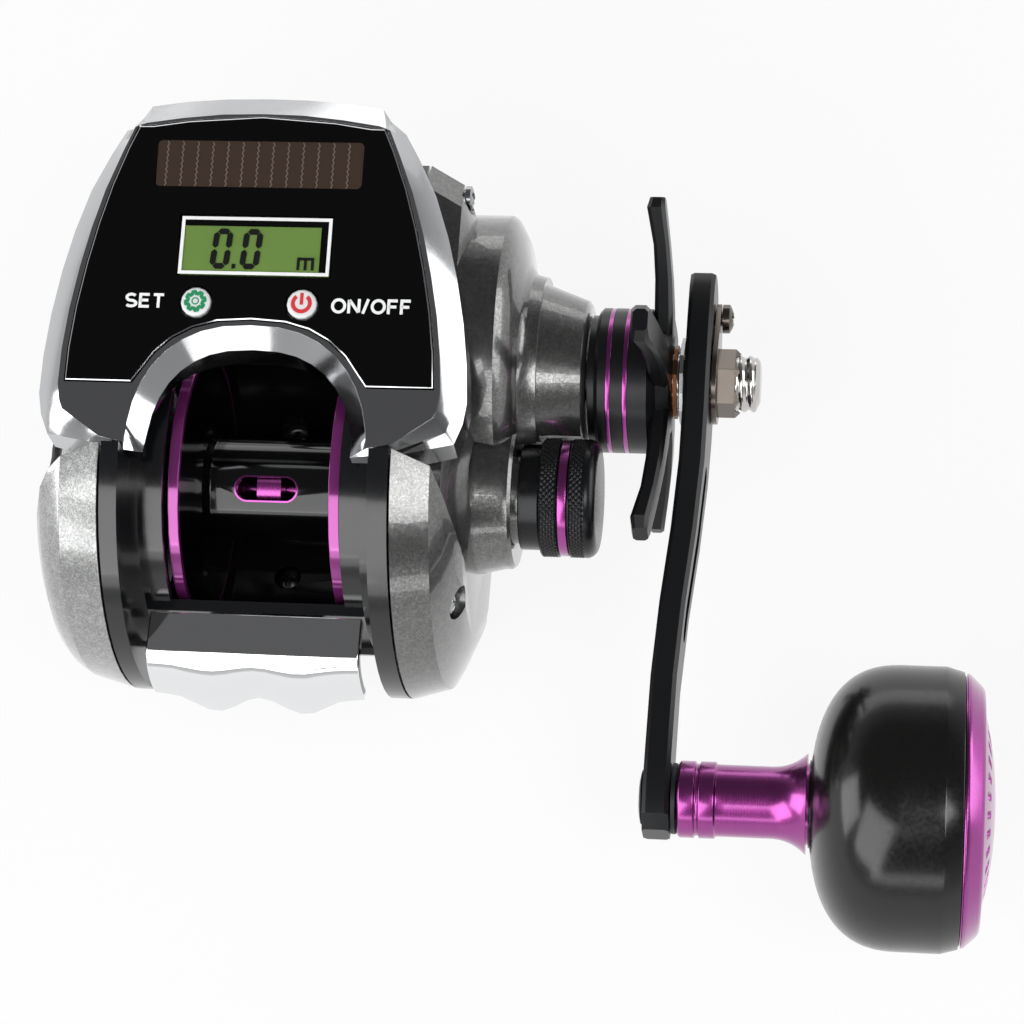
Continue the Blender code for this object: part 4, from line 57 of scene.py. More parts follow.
PEEL_MM, DUST_MM, WAVE_HEIGHT_MM, NOISE_LOW, NOISE_HIGH = 1.6, 0.25, 0.08, 0.3, 0.7
WELD_MM, CREASE_REACH_MM, FLAT_DEGREES, EDGE_STEPS = 0.002, 0.02, 0.6, 2
nodes = frame["nodes"]
body_of = {node: body for body, held in frame["record"]["behaviour"]["bodies"].items()
           for node in held}


def linear(code):
    """An sRGB hex code as a linear colour: each channel by the sRGB curve, with alpha 1."""
    shares = np.array([int(code[i:i + 2], 16) for i in (0, 2, 4)]) / 255
    curve = np.where(shares <= 0.04045, shares / 12.92, ((shares + 0.055) / 1.055) ** 2.4)
    return (*curve.tolist(), 1.0)


def finish(name, **sockets):
    """A new finish with constant values on its Principled shader, and its node tree."""
    made = bpy.data.materials.new(name)
    made.use_nodes = True
    shader = made.node_tree.nodes["Principled BSDF"]
    for socket, value in sockets.items():
        shader.inputs[socket.replace("_", " ")].default_value = value
    return made, made.node_tree, shader


def add(tree, kind, inputs=(), **settings):
    """Adds a shader node: settings are its properties, inputs its sockets as values or links."""
    node = tree.nodes.new("ShaderNode" + kind)
    for key, value in settings.items():
        setattr(node, key, value)
    for key, value in dict(inputs).items():
        if isinstance(value, bpy.types.NodeSocket):
            tree.links.new(value, node.inputs[key])
        else:
            node.inputs[key].default_value = value
    return node


def feed(tree, shader, **outputs):
    """Links outputs to the shader's sockets, whose names are written with underscores."""
    for socket, output in outputs.items():
        tree.links.new(output, shader.inputs[socket.replace("_", " ")])


def gloss(name, code, roughness, wave_mm, wave_strength, speck_mm, spread=0.03, **sockets):
    """A smooth moulded, plated or sprayed skin: a slow wave bends its reflections a little and
    fine specks change its gloss."""
    made, tree, shader = finish(name, Base_Color=linear(code), Roughness=roughness, **sockets)
    place = add(tree, "TexCoord").outputs["Object"]
    wave = add(tree, "TexNoise", {"Vector": place, "Scale": 1 / (wave_mm * MM), "Detail": 1.5})
    speck = add(tree, "TexNoise", {"Vector": place, "Scale": 1 / (speck_mm * MM), "Detail": 2.0})
    rough = add(tree, "MapRange", {"Value": speck.outputs["Fac"], "From Min": NOISE_LOW,
                                   "From Max": NOISE_HIGH, "To Min": roughness - spread,
                                   "To Max": roughness + spread})
    bump = add(tree, "Bump", {"Height": wave.outputs["Fac"], "Strength": wave_strength,
                              "Distance": WAVE_HEIGHT_MM * MM})
    feed(tree, shader, Roughness=rough.outputs["Result"], Normal=bump.outputs["Normal"])
    return made


def paint(piece, material):
    """Gives a CAD node or a piece one finish in its only slot."""
    piece.data.materials.clear()
    piece.data.materials.append(material)


def stand_for(piece, node, material):
    """Hangs a finished piece on its node's body with one finish, in place of its node, which is hidden."""
    paint(piece, material)
    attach(piece, body_of[node])
    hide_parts(node)
    return piece


def dressed(node, material, edge, sharp=32, creases=()):
    """A finer copy of a CAD node: doubles merged, flat faces joined, sharp edges rounded. An edge
    is rounded where its faces turn by more than sharp degrees, or where it lies in one of the
    planes across X that creases names in millimetres."""
    piece = nodes[node].copy()
    piece.data = nodes[node].data.copy()
    piece.name = node + "_shell"
    bpy.context.scene.collection.objects.link(piece)
    work = bmesh.new()
    work.from_mesh(piece.data)
    bmesh.ops.remove_doubles(work, verts=work.verts, dist=WELD_MM * MM)
    bmesh.ops.dissolve_limit(work, angle_limit=math.radians(FLAT_DEGREES), verts=work.verts,
                             edges=work.edges, use_dissolve_boundaries=False)
    weight = work.edges.layers.float.new("bevel_weight_edge")
    for side in work.edges:
        ends = [corner.co.x for corner in side.verts]
        creased = any(max(abs(x - plane * MM) for x in ends) < CREASE_REACH_MM * MM
                      for plane in creases)
        if creased or side.calc_face_angle(0) > math.radians(sharp):
            side[weight] = 1.0
            side.smooth = False
    work.to_mesh(piece.data)
    work.free()
    piece.data.shade_smooth()
    rounding = piece.modifiers.new("edge", "BEVEL")
    rounding.width = edge * MM
    rounding.segments = EDGE_STEPS
    rounding.limit_method = "WEIGHT"
    rounding.harden_normals = True
    rounding.use_clamp_overlap = True
    rounding.miter_outer = "MITER_ARC"
    return stand_for(piece, node, material)


lacquer = gloss("black_lacquer_on_cast_alloy", BLACK_LACQUER, 0.16, PEEL_MM, 0.04, DUST_MM,
                Coat_Weight=0.2, Coat_Roughness=0.06)
dressed("frame", lacquer, 0.25)


# Foot: a long alloy plate screwed under the frame, black anodised to a fine satin grain.
# Its two blackened steel screws with a cross recess come down from inside the spool trough.
SATIN_BLACK, BLACKENED = "1B1C1E", "58595B"
GRAIN_MM, GRAIN_BUMP, PATCH_MM, PATCH_SHADE = 0.12, 0.35, 9, 0.12
TOOL_MM, TOOL_DEPTH_MM, TOOL_BUMP, TOOL_SPREAD, BLOTCH_MM, BLOTCH_SHADE = (
    0.08, 0.004, 0.5, 0.3, 2.5, 0.1)
SKIN_WELD_MM = 0.0002
SCREW_SIDES, HEAD_RINGS, DOME_SHARE, RECESS_SHARE = 72, 22, 0.4, 0.34
BAR_SHARE, BAR_SOFT_SHARE, BAR_REACH_SHARE = 0.17, 0.12, 0.66


def mottled(tree, code, factor, dark, bright, top=1.0):
    """A colour scaled from a dark to a bright shade, as the factor runs from nought to top."""
    shade = add(tree, "MapRange", {"Value": factor, "From Max": top, "To Min": dark,
                                   "To Max": bright})
    tint = add(tree, "VectorMath", {0: linear(code)[:3], "Scale": shade.outputs["Result"]},
               operation="SCALE")
    return tint.outputs["Vector"]


def fine_grain(name, code, roughness, grain_mm, depth_mm, metallic=0.0, spread=0.06):
    """A blasted, moulded or anodised surface: noise at the grit's size drives bump and gloss, and
    wide soft patches change the shade."""
    made, tree, shader = finish(name, Base_Color=linear(code), Metallic=metallic,
                                Roughness=roughness)
    place = add(tree, "TexCoord").outputs["Object"]
    grit = add(tree, "TexNoise", {"Vector": place, "Scale": 1 / (grain_mm * MM), "Detail": 3.0})
    patch = add(tree, "TexNoise", {"Vector": place, "Scale": 1 / (PATCH_MM * MM), "Detail": 2.0})
    rough = add(tree, "MapRange", {"Value": grit.outputs["Fac"], "To Min": roughness - spread,
                                   "To Max": roughness + spread})
    bump = add(tree, "Bump", {"Height": grit.outputs["Fac"], "Strength": GRAIN_BUMP,
                              "Distance": depth_mm * MM})
    tint = mottled(tree, code, patch.outputs["Fac"], 1 - PATCH_SHADE, 1 + PATCH_SHADE)
    feed(tree, shader, Base_Color=tint, Roughness=rough.outputs["Result"],
         Normal=bump.outputs["Normal"])
    return made


def turned_metal(name, code, roughness, line_mm, axis=0, **sockets):
    """Lathe-cut metal: fine rings across the axis, from noise that changes along it alone, and
    small blotches of shade."""
    made, tree, shader = finish(name, Base_Color=linear(code), Metallic=1.0, Roughness=roughness,
                                **sockets)
    place = add(tree, "TexCoord").outputs["Object"]
    part = add(tree, "SeparateXYZ", {"Vector": place})
    along = add(tree, "CombineXYZ", {"X": part.outputs[axis]})
    rings = add(tree, "TexNoise", {"Vector": along.outputs["Vector"],
                                   "Scale": 1 / (line_mm * MM), "Detail": 2.0})
    blotch = add(tree, "TexNoise", {"Vector": place, "Scale": 1 / (BLOTCH_MM * MM), "Detail": 3.0})
    rough = add(tree, "MapRange", {"Value": rings.outputs["Fac"],
                                   "To Min": roughness * (1 - TOOL_SPREAD),
                                   "To Max": roughness * (1 + TOOL_SPREAD)})
    bump = add(tree, "Bump", {"Height": rings.outputs["Fac"], "Strength": TOOL_BUMP,
                              "Distance": TOOL_DEPTH_MM * MM})
    tint = mottled(tree, code, blotch.outputs["Fac"], 1 - BLOTCH_SHADE, 1 + BLOTCH_SHADE)
    feed(tree, shader, Base_Color=tint, Roughness=rough.outputs["Result"],
         Normal=bump.outputs["Normal"])
    return made


def box_mm(node):
    """The lowest and the highest corner of a CAD node at rest, in millimetres."""
    return [np.array(corner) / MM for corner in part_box(node)]


def skin(name, grids, loop=False, smooth=35):
    """Closed skins over grids of points in millimetres, in one mesh: rows by columns, the columns
    running round, and the rows too where loop is set. A row drawn to one point closes an end."""
    points, faces, start = [], [], 0
    for grid in grids:
        rows, columns = grid.shape[:2]
        row = np.arange(rows if loop else rows - 1)[:, None]
        column = np.arange(columns)[None, :]
        ahead, beside = (row + 1) % rows, (column + 1) % columns
        corners = (row * columns + column, row * columns + beside,
                   ahead * columns + beside, ahead * columns + column)
        quads = np.stack(np.broadcast_arrays(*corners), -1)
        faces.append(quads.reshape(-1, 4) + start)
        points.append(grid.reshape(-1, 3) * MM)
        start += rows * columns
    mesh = bpy.data.meshes.new(name)
    mesh.from_pydata(np.concatenate(points).tolist(), [], np.concatenate(faces).tolist())
    work = bmesh.new()
    work.from_mesh(mesh)
    bmesh.ops.remove_doubles(work, verts=work.verts, dist=SKIN_WELD_MM * MM)
    bmesh.ops.recalc_face_normals(work, faces=work.faces)
    work.to_mesh(mesh)
    work.free()
    mesh.shade_smooth()
    mesh.set_sharp_from_angle(angle=math.radians(smooth))
    piece = bpy.data.objects.new(name, mesh)
    bpy.context.scene.collection.objects.link(piece)
    return piece


def recessed_screw(node, material, axis, head_mm, shank_mm):
    """A screw along one axis of its node's box. The head is a grid of radius and angle: a flat
    dome that falls with the square of the radius, sunk near either bar of the cross. The head's
    side, its seat, the shank and the tip follow as further rings."""
    low, high = box_mm(node)
    middle = (low + high) / 2
    across = [k for k in range(3) if k != axis]
    head_r = (high - low)[across].min() / 2
    angle = np.linspace(0, 2 * np.pi, SCREW_SIDES, endpoint=False)[None, :]
    radius = np.linspace(0, head_r, HEAD_RINGS)[:, None]
    u, v = radius * np.cos(angle), radius * np.sin(angle)
    bar, soft, reach = (head_r * share for share in (BAR_SHARE, BAR_SOFT_SHARE, BAR_REACH_SHARE))
    cross = np.clip((bar - np.minimum(abs(u), abs(v))) / soft + 0.5, 0, 1)
    cross = cross * np.clip((reach - radius) / soft + 0.5, 0, 1)
    top = high[axis] - head_mm * (DOME_SHARE * (radius / head_r) ** 2 + RECESS_SHARE * cross)
    seat = high[axis] - head_mm
    side = [(head_r, seat), (shank_mm, seat), (shank_mm, low[axis] + shank_mm / 2),
            (shank_mm / 2, low[axis]), (0, low[axis])]
    ring = np.array([r for r, h in side])[:, None]
    rise = np.array([h for r, h in side])[:, None] + 0 * angle
    grid = np.empty((HEAD_RINGS + len(side), SCREW_SIDES, 3))
    grid[..., axis] = np.concatenate([top, rise])
    grid[..., across[0]] = np.concatenate([u, ring * np.cos(angle)]) + middle[across[0]]
    grid[..., across[1]] = np.concatenate([v, ring * np.sin(angle)]) + middle[across[1]]
    return stand_for(skin(node + "_cut", [grid]), node, material)


satin_black = fine_grain("black_anodised_aluminium", SATIN_BLACK, roughness=0.34,
                         grain_mm=GRAIN_MM, depth_mm=0.01, metallic=0.45)
blackened = turned_metal("blackened_screw_steel", BLACKENED, 0.3, TOOL_MM, axis=2)
dressed("reel_foot", satin_black, 0.3)
for name in ("foot_screw_rear", "foot_screw_front"):
    recessed_screw(name, blackened, axis=2, head_mm=1.0, shank_mm=1.0)


# Side covers: moulded in ABS and sprayed with aluminium flake under clear lacquer, silver on
# the left and a darker grey on the gear side. Three steel screws hold the right one.
SILVER_FLAKE, GREY_FLAKE, COVER_STEEL = "989998", "6A6A69", "A9ABAD"
FLAKE_MM, FLAKE_DEPTH_MM, FLAKE_BUMP, FLAKE_DARK, FLAKE_BRIGHT = 0.16, 0.02, 0.2, 0.65, 1.35
CLOUD_MM, CLOUD_TOP, COAT_PEEL_MM, COAT_DEPTH_MM, COAT_BUMP = 0.9, 0.6, 1.8, 0.05, 0.04
COVER_EDGE_MM, COVER_SHARP, LEFT_CREASE_MM, RIGHT_CREASE_MM = 0.22, 34, -22.8, 23.3


def flake_paint(name, code):
    """Metallic paint: each flake is one Voronoi cell with its own tilt and shade, under a clear
    coat with a little orange peel. Real flakes are too fine to show, so these are 0.16 mm."""
    made, tree, shader = finish(name, Base_Color=linear(code), Metallic=0.9, Roughness=0.26,
                                Coat_Weight=0.9, Coat_Roughness=0.04)
    place = add(tree, "TexCoord").outputs["Object"]
    cells = add(tree, "TexVoronoi", {"Vector": place, "Scale": 1 / (FLAKE_MM * MM)})
    cloud = add(tree, "TexNoise", {"Vector": place, "Scale": 1 / (CLOUD_MM * MM), "Detail": 4.0})
    one = add(tree, "SeparateColor", {"Color": cells.outputs["Color"]})
    both = add(tree, "Math", {0: one.outputs["Red"], 1: cloud.outputs["Fac"]},
               operation="MULTIPLY")
    tint = mottled(tree, code, both.outputs["Value"], FLAKE_DARK, FLAKE_BRIGHT, CLOUD_TOP)
    flip = add(tree, "Bump", {"Height": one.outputs["Green"], "Strength": FLAKE_BUMP,
                              "Distance": FLAKE_DEPTH_MM * MM})
    peel = add(tree, "TexNoise", {"Vector": place, "Scale": 1 / (COAT_PEEL_MM * MM),
                                  "Detail": 1.0})
    coat = add(tree, "Bump", {"Height": peel.outputs["Fac"], "Strength": COAT_BUMP,
                              "Distance": COAT_DEPTH_MM * MM})
    feed(tree, shader, Base_Color=tint, Normal=flip.outputs["Normal"],
         Coat_Normal=coat.outputs["Normal"])
    return made


silver_paint = flake_paint("silver_flake_paint_on_abs", SILVER_FLAKE)
grey_paint = flake_paint("grey_flake_paint_on_abs", GREY_FLAKE)
dressed("left_side_cover", silver_paint, COVER_EDGE_MM, COVER_SHARP, [LEFT_CREASE_MM])
dressed("right_side_cover", grey_paint, COVER_EDGE_MM, COVER_SHARP, [RIGHT_CREASE_MM])
cover_steel = turned_metal("turned_cover_screw_steel", COVER_STEEL, 0.25, TOOL_MM)
for name in ("cover_screw_nose", "cover_screw_rear", "cover_screw_base"):
    recessed_screw(name, cover_steel, axis=0, head_mm=1.1, shank_mm=1.0)


# Brake dial: a black nylon disc with a grip bar, moulded with a fine spark texture.
# It is held in the left cover by its snap rim.
dial_nylon = fine_grain("black_moulded_nylon", "18191B", roughness=0.46, grain_mm=0.18,
                        depth_mm=0.02)
dressed("brake_dial", dial_nylon, 0.2)


# Spool: turned from aluminium and anodised gloss black, with only its two rims left magenta.
# The line is tied through an oblong slot in the arbor, whose edge shows the bare dye.
MAGENTA, RIM_MAGENTA, SPOOL_BLACK = "9A3C8C", "8A347E", "0E0F10"
RIM_R_MM, ARBOR_MM, SPOOL_LINE_MM, SPOOL_LINE_DEPTH_MM = 16.55, 6.7, 0.6, 0.01
SLOT_MID_MM, SLOT_LONG_MM, SLOT_WIDE_MM, SLOT_DEGREES = -0.6, 7.9, 3.0, 112
SLOT_EDGE_MM, SLOT_SUNK_MM, SLOT_PROUD_MM, SLOT_STEPS = 0.22, 0.05, 0.03, 48

# Dyed anodising is coloured metal under its own clear oxide, so its highlights are pale
anodised = turned_metal("magenta_anodised_aluminium", MAGENTA, 0.26, 0.1, Coat_Weight=0.7,
                        Coat_Roughness=0.12)
made, tree, shader = finish("black_and_magenta_anodised_spool", Metallic=0.6, Roughness=0.12,
                            Coat_Weight=0.5, Coat_Roughness=0.04)
low, high = (Vector(corner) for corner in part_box("spool"))
centre = (low + high) / 2
spool_axis = (centre.y / MM, centre.z / MM)
place = add(tree, "TexCoord").outputs["Object"]
shift = add(tree, "VectorMath", {0: place, 1: tuple(-centre)}, operation="ADD")
part = add(tree, "SeparateXYZ", {"Vector": shift.outputs["Vector"]})
flat = add(tree, "CombineXYZ", {"Y": part.outputs["Y"], "Z": part.outputs["Z"]})
radius = add(tree, "VectorMath", {0: flat.outputs["Vector"]}, operation="LENGTH")
rim = add(tree, "Math", {0: radius.outputs["Value"], 1: RIM_R_MM * MM}, operation="GREATER_THAN")
rings = add(tree, "TexNoise", {"Vector": flat.outputs["Vector"],
                               "Scale": 1 / (SPOOL_LINE_MM * MM)})
both = add(tree, "Mix", {0: rim.outputs["Value"], 6: linear(SPOOL_BLACK), 7: linear(RIM_MAGENTA)},
           data_type="RGBA")
bump = add(tree, "Bump", {"Height": rings.outputs["Fac"], "Strength": 0.1,
                          "Distance": SPOOL_LINE_DEPTH_MM * MM})
feed(tree, shader, Base_Color=both.outputs[2], Normal=bump.outputs["Normal"])
dressed("spool", made, 0.12)
dressed("spool_shaft", anodised, 0.1)

# The slot's dyed edge: a thin band laid on the arbor along an obround
straight = (SLOT_LONG_MM - SLOT_WIDE_MM) / 2
turn = np.linspace(0, 2 * np.pi, SLOT_STEPS, endpoint=False)[:, None]
section = np.array([(0, -SLOT_SUNK_MM), (0, SLOT_PROUD_MM), (1, SLOT_PROUD_MM),
                    (1, -SLOT_SUNK_MM)])[None, :, :]
reach = SLOT_WIDE_MM / 2 + section[..., 0] * SLOT_EDGE_MM
along = SLOT_MID_MM + np.sign(np.cos(turn)) * straight + reach * np.cos(turn)
round_by = math.radians(SLOT_DEGREES) - reach * np.sin(turn) / ARBOR_MM
out = ARBOR_MM + section[..., 1] + 0 * reach
band = np.stack([along, spool_axis[0] + out * np.cos(round_by),
                 spool_axis[1] + out * np.sin(round_by)], -1)
slot_edge = skin("tie_slot_edge", [band], True)
paint(slot_edge, anodised)
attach(slot_edge, "spool")


# Level wind: a worm in a slotted steel tube drives the guide from side to side.
# Worm and tube are polished stainless steel, the guide is glass-filled nylon with a steel eye.
polished = turned_metal("polished_stainless_steel", "B9BBBE", 0.16, 0.15)
guide_nylon = fine_grain("glass_filled_nylon", "191A1C", roughness=0.42, grain_mm=0.2,
                         depth_mm=0.02)
brass = turned_metal("cut_brass", "B9924E", 0.28, 0.12)
white_nylon = fine_grain("natural_nylon", "D9D6CC", roughness=0.5, grain_mm=0.3, depth_mm=0.01)
for name in ("worm_shaft", "level_wind_tube", "line_guide_eye"):
    dressed(name, polished, 0.08)
dressed("line_guide", guide_nylon, 0.2)
dressed("worm_pawl", brass, 0.08)
paint(nodes["worm_gear"], white_nylon)


# Gear train behind the right cover: brass gears, a carbon drag washer and steel clutch parts.
# They are cut and ground, and only show through the gaps round the knobs.
carbon = fine_grain("woven_carbon_washer", "232426", roughness=0.55, grain_mm=0.5, depth_mm=0.02)
ground = turned_metal("ground_steel", "A7A9AC", 0.24, 0.1)
black_steel = fine_grain("blackened_steel", "2A2B2D", roughness=0.4, grain_mm=0.2, depth_mm=0.01,
                         metallic=0.6)
for name in ("drive_gear", "level_wind_drive_gear", "pinion_gear"):
    paint(nodes[name], brass)
for name in ("left_spool_bearing", "right_spool_bearing", "pinion_bearing", "shaft_bearing",
             "anti_reverse_bearing", "outer_shaft_bearing", "clutch_sleeve", "clutch_cam",
             "key_washer", "magnet_plate", "knob_bearing_inner", "knob_bearing_outer"):
    paint(nodes[name], ground)
paint(nodes["drag_washer"], carbon)
paint(nodes["clutch_yoke"], black_steel)


# Display housing: one ABS shell plated with dark chrome, its deck sloping to the angler.
# The arch over the spool and the rims are broad polished bevels.
DARK_CHROME = "BDBEC0"
plating = gloss("dark_chrome_plated_abs", DARK_CHROME, 0.11, 3.5, 0.06, 0.2, Metallic=1.0)
dressed("display_housing", plating, 0.35, 30)


# Display window: a flush plate of black acrylic, with a solar cell and the counter's
# liquid-crystal module behind cut-outs, printed from above in black, white and dark grey.
ACRYLIC_BLACK, WHITE_ENAMEL, SEGMENT_GREY, CELL_LINE = "050506", "E8E9E9", "0B0E0C", "70635A"
SOLAR_BROWN, CRYSTAL_GREEN = "3A2E27", "65823F"
SOLAR_MM, LCD_MM, GREEN_MM = (-14.2, 12.2, 29.1, 35.2), (-10.2, 8.9, 17.7, 25.2), (7.6, 24.0)
TILT = math.radians(8)
INK_MM, CORNER_STEPS = 0.03, 8
deck_top = Vector(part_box("display_panel")[1])


def on_deck(flat, lift):
    """Points of the deck's plane in millimetres: x across and y forward from the spool's axis,
    raised by lift along the deck's normal."""
    x, y = flat[..., 0], flat[..., 1] + spool_axis[0]
    z = deck_top.z / MM - (deck_top.y / MM - y) * math.tan(TILT)
    return np.stack([x, y - lift * math.sin(TILT), z + lift * math.cos(TILT)], -1)


def stroke(path, width, lift=0.0, closed=False, tip=0.0):
    """A printed line as a grid of four-cornered sections: each point of the path is moved by half
    the width along the mean of its two sides' normals, down and up by the ink's thickness. An
    open line is closed at each end by a point, which lies tip beyond it."""
    path = np.asarray(path, float)
    ahead, behind = np.roll(path, -1, 0) - path, path - np.roll(path, 1, 0)
    if not closed:
        ahead[-1], behind[0] = behind[-1], ahead[0]
    ahead, behind = (way / np.linalg.norm(way, axis=1)[:, None] for way in (ahead, behind))
    normals = [np.stack([-way[:, 1], way[:, 0]], 1) for way in (ahead, behind)]
    mid = normals[0] + normals[1]
    mid = mid / np.linalg.norm(mid, axis=1)[:, None]
    mid = mid * width / 2 / np.maximum((mid * normals[0]).sum(1), 0.5)[:, None]
    left, right = path + mid, path - mid
    grid = np.stack([on_deck(left, lift), on_deck(left, lift + INK_MM),
                     on_deck(right, lift + INK_MM), on_deck(right, lift)], 1)
    if closed:
        return np.concatenate([grid, grid[:1]])
    ends = [path[0] - behind[0] * tip, path[-1] + ahead[-1] * tip]
    caps = [np.repeat(on_deck(end, lift + INK_MM / 2)[None, None, :], 4, 1) for end in ends]
    return np.concatenate([caps[0], grid, caps[1]])


def printed(name, strokes, material, body="body"):
    """Printed lines as one piece that rides on a body."""
    piece = skin(name, strokes)
    paint(piece, material)
    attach(piece, body)
    return piece


def rounded(x0, x1, y0, y1, radius):
    """A rectangle's path with round corners: four quarter circles, counter-clockwise."""
    turn = np.linspace(0, np.pi / 2, CORNER_STEPS)
    corners = ((x1 - radius, y1 - radius, 0), (x0 + radius, y1 - radius, 1),
               (x0 + radius, y0 + radius, 2), (x1 - radius, y0 + radius, 3))
    return np.concatenate([np.stack([cx + radius * np.cos(turn + quarter * np.pi / 2),
                                     cy + radius * np.sin(turn + quarter * np.pi / 2)], 1)
                           for cx, cy, quarter in corners])


acrylic = gloss("black_acrylic", ACRYLIC_BLACK, 0.05, 6.0, 0.01, 0.6, 0.02,
                Specular_IOR_Level=0.25)
panel = dressed("display_panel", acrylic, 0.12)
panel.data.shade_flat()
panel.modifiers["edge"].harden_normals = False

# Bezel: a plated hairline ridge round the window, one roof-shaped section carried along the
# outer edge of the window's top face and sunk so that its crest stays a hair below that face
RIDGE_MM, RIDGE_RISE_MM, RIDGE_SUNK_SHARE, TOP_REACH_MM, TOP_FACING = 0.28, 0.09, 1.2, 0.05, 0.999
work = bmesh.new()
work.from_mesh(nodes["display_panel"].data)
bmesh.ops.remove_doubles(work, verts=work.verts, dist=WELD_MM * MM)
normal = Vector((0, -math.sin(TILT), math.cos(TILT)))
tops = {face for face in work.faces if face.normal.dot(normal) > TOP_FACING
        and abs((face.verts[0].co - deck_top).dot(normal)) < TOP_REACH_MM * MM}
beside = {}
for side in work.edges:
    if sum(face in tops for face in side.link_faces) == 1:
        for here, there in (side.verts, tuple(side.verts)[::-1]):
            beside.setdefault(here, []).append(there)
loop = [min(beside, key=lambda corner: corner.co.x)]
loop.append(beside[loop[0]][0])
while loop[-1] is not loop[0]:
    loop.append(next(corner for corner in beside[loop[-1]] if corner is not loop[-2]))
path = np.array([(corner.co.x, corner.co.y - centre.y) for corner in loop[:-1]]) / MM
work.free()
ahead, behind = np.roll(path, -1, 0) - path, path - np.roll(path, 1, 0)
side = (ahead / np.linalg.norm(ahead, axis=1)[:, None]
        + behind / np.linalg.norm(behind, axis=1)[:, None])
side = np.stack([-side[:, 1], side[:, 0]], 1) / np.linalg.norm(side, axis=1)[:, None]
section = np.array([(-0.5, -1), (-0.5, 0), (0, 1), (0.5, 0), (0.5, -1)])
grid = np.stack([on_deck(path + side * RIDGE_MM * across,
                         RIDGE_RISE_MM * (rise - RIDGE_SUNK_SHARE))
                 for across, rise in section], 1)
bezel = skin("window_bezel", [grid], True, 20)
paint(bezel, plating)
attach(bezel, "body")

# Solar cell: a thin brown silicon film, divided by fine zigzag lines and framed in black
MASK_MM, MASK_LIFT_MM, CELL_CORNER_MM, CELL_MARGIN_MM = 0.7, -0.01, 1.0, 0.1
DIVIDERS, DIVIDER_START_MM, DIVIDER_GAP_MM = 13, 1.35, 1.93
DIVIDER_MM, DIVIDER_LIFT_MM, ZIGZAG_MM, ZIGZAGS = 0.13, -0.07, 0.11, 17
cell = gloss("amorphous_silicon_cell", SOLAR_BROWN, 0.25, 4.0, 0.02, 0.2, 0.02,
             Specular_IOR_Level=0.3)
paint(nodes["solar_cell"], cell)
silver_line = fine_grain("cell_divider_silver", CELL_LINE, roughness=0.45, grain_mm=0.15,
                         depth_mm=0.004, metallic=0.2)
half = MASK_MM / 2
x0, x1, y0, y1 = SOLAR_MM
border = rounded(x0 - half, x1 + half, y0 - half, y1 + half, CELL_CORNER_MM)
printed("solar_mask", [stroke(border, MASK_MM, MASK_LIFT_MM, True)], acrylic)
zigzag = x0 + DIVIDER_START_MM + np.where(np.arange(ZIGZAGS) % 2 == 0, -ZIGZAG_MM, ZIGZAG_MM)
up = np.linspace(y0 + CELL_MARGIN_MM, y1 - CELL_MARGIN_MM, ZIGZAGS)
dividers = [np.stack([zigzag + k * DIVIDER_GAP_MM, up], 1) for k in range(DIVIDERS)]
printed("solar_dividers", [stroke(line, DIVIDER_MM, DIVIDER_LIFT_MM) for line in dividers],
        silver_line)

# Counter display: a green reflective crystal, masked above and to the right, in a white frame
FRAME_LINE_MM, FRAME_LIFT_MM, SHADE_LIFT_MM = 0.42, 0.04, 0.005
crystal = fine_grain("reflective_liquid_crystal", CRYSTAL_GREEN, roughness=0.3, grain_mm=0.3,
                     depth_mm=0.003, spread=0.03)
paint(nodes["lcd_module"], crystal)
white_ink = fine_grain("white_enamel_ink", WHITE_ENAMEL, roughness=0.45, grain_mm=0.15,
                       depth_mm=0.004)
segment_ink = fine_grain("dark_crystal_segment", SEGMENT_GREY, roughness=0.35, grain_mm=0.15,
                         depth_mm=0.002)
x0, x1, y0, y1 = LCD_MM
green_x, green_y = GREEN_MM
mid_x, mid_y = (green_x + x1) / 2, (green_y + y1) / 2
printed("display_mask", [stroke([(x0, mid_y), (x1, mid_y)], y1 - green_y, SHADE_LIFT_MM),
                         stroke([(mid_x, y0), (mid_x, green_y)], x1 - green_x, SHADE_LIFT_MM)],
        acrylic)
half = FRAME_LINE_MM / 2
corners = [(x1 - half, y1 - half), (x0 + half, y1 - half), (x0 + half, y0 + half),
           (x1 - half, y0 + half)]
printed("display_frame", [stroke(corners, FRAME_LINE_MM, FRAME_LIFT_MM, True)], white_ink)

# Figures: each bar of a nought is a pointed line that leans with the figure's slant
FIGURE_W, FIGURE_H, FIGURE_BASE, SLANT = 1.7, 4.5, 18.8, 0.08
BAR_MM, BAR_GAP_SHARE, BAR_TIP_SHARE, DOT_MM, UNIT_LINE_MM = 0.74, 0.55, 0.45, 0.6, 0.36
LEFT_NOUGHT, RIGHT_NOUGHT, DOT_X = -5.95, -2.15, (-3.45, -3.0)
UNIT_X, UNIT_Y = (4.95, 5.85, 6.75), (18.45, 19.9)


def nought(x, y):
    """The six outer bars of a seven-bar figure, from its lower left corner."""
    w, h, gap = FIGURE_W, FIGURE_H, BAR_MM * BAR_GAP_SHARE
    bars = [((0, gap), (0, h / 2 - gap)), ((0, h / 2 + gap), (0, h - gap)),
            ((w, gap), (w, h / 2 - gap)), ((w, h / 2 + gap), (w, h - gap)),
            ((gap, 0), (w - gap, 0)), ((gap, h), (w - gap, h))]
    return [stroke([(x + px + py * SLANT, y + py) for px, py in bar], BAR_MM,
                   tip=BAR_MM * BAR_TIP_SHARE) for bar in bars]


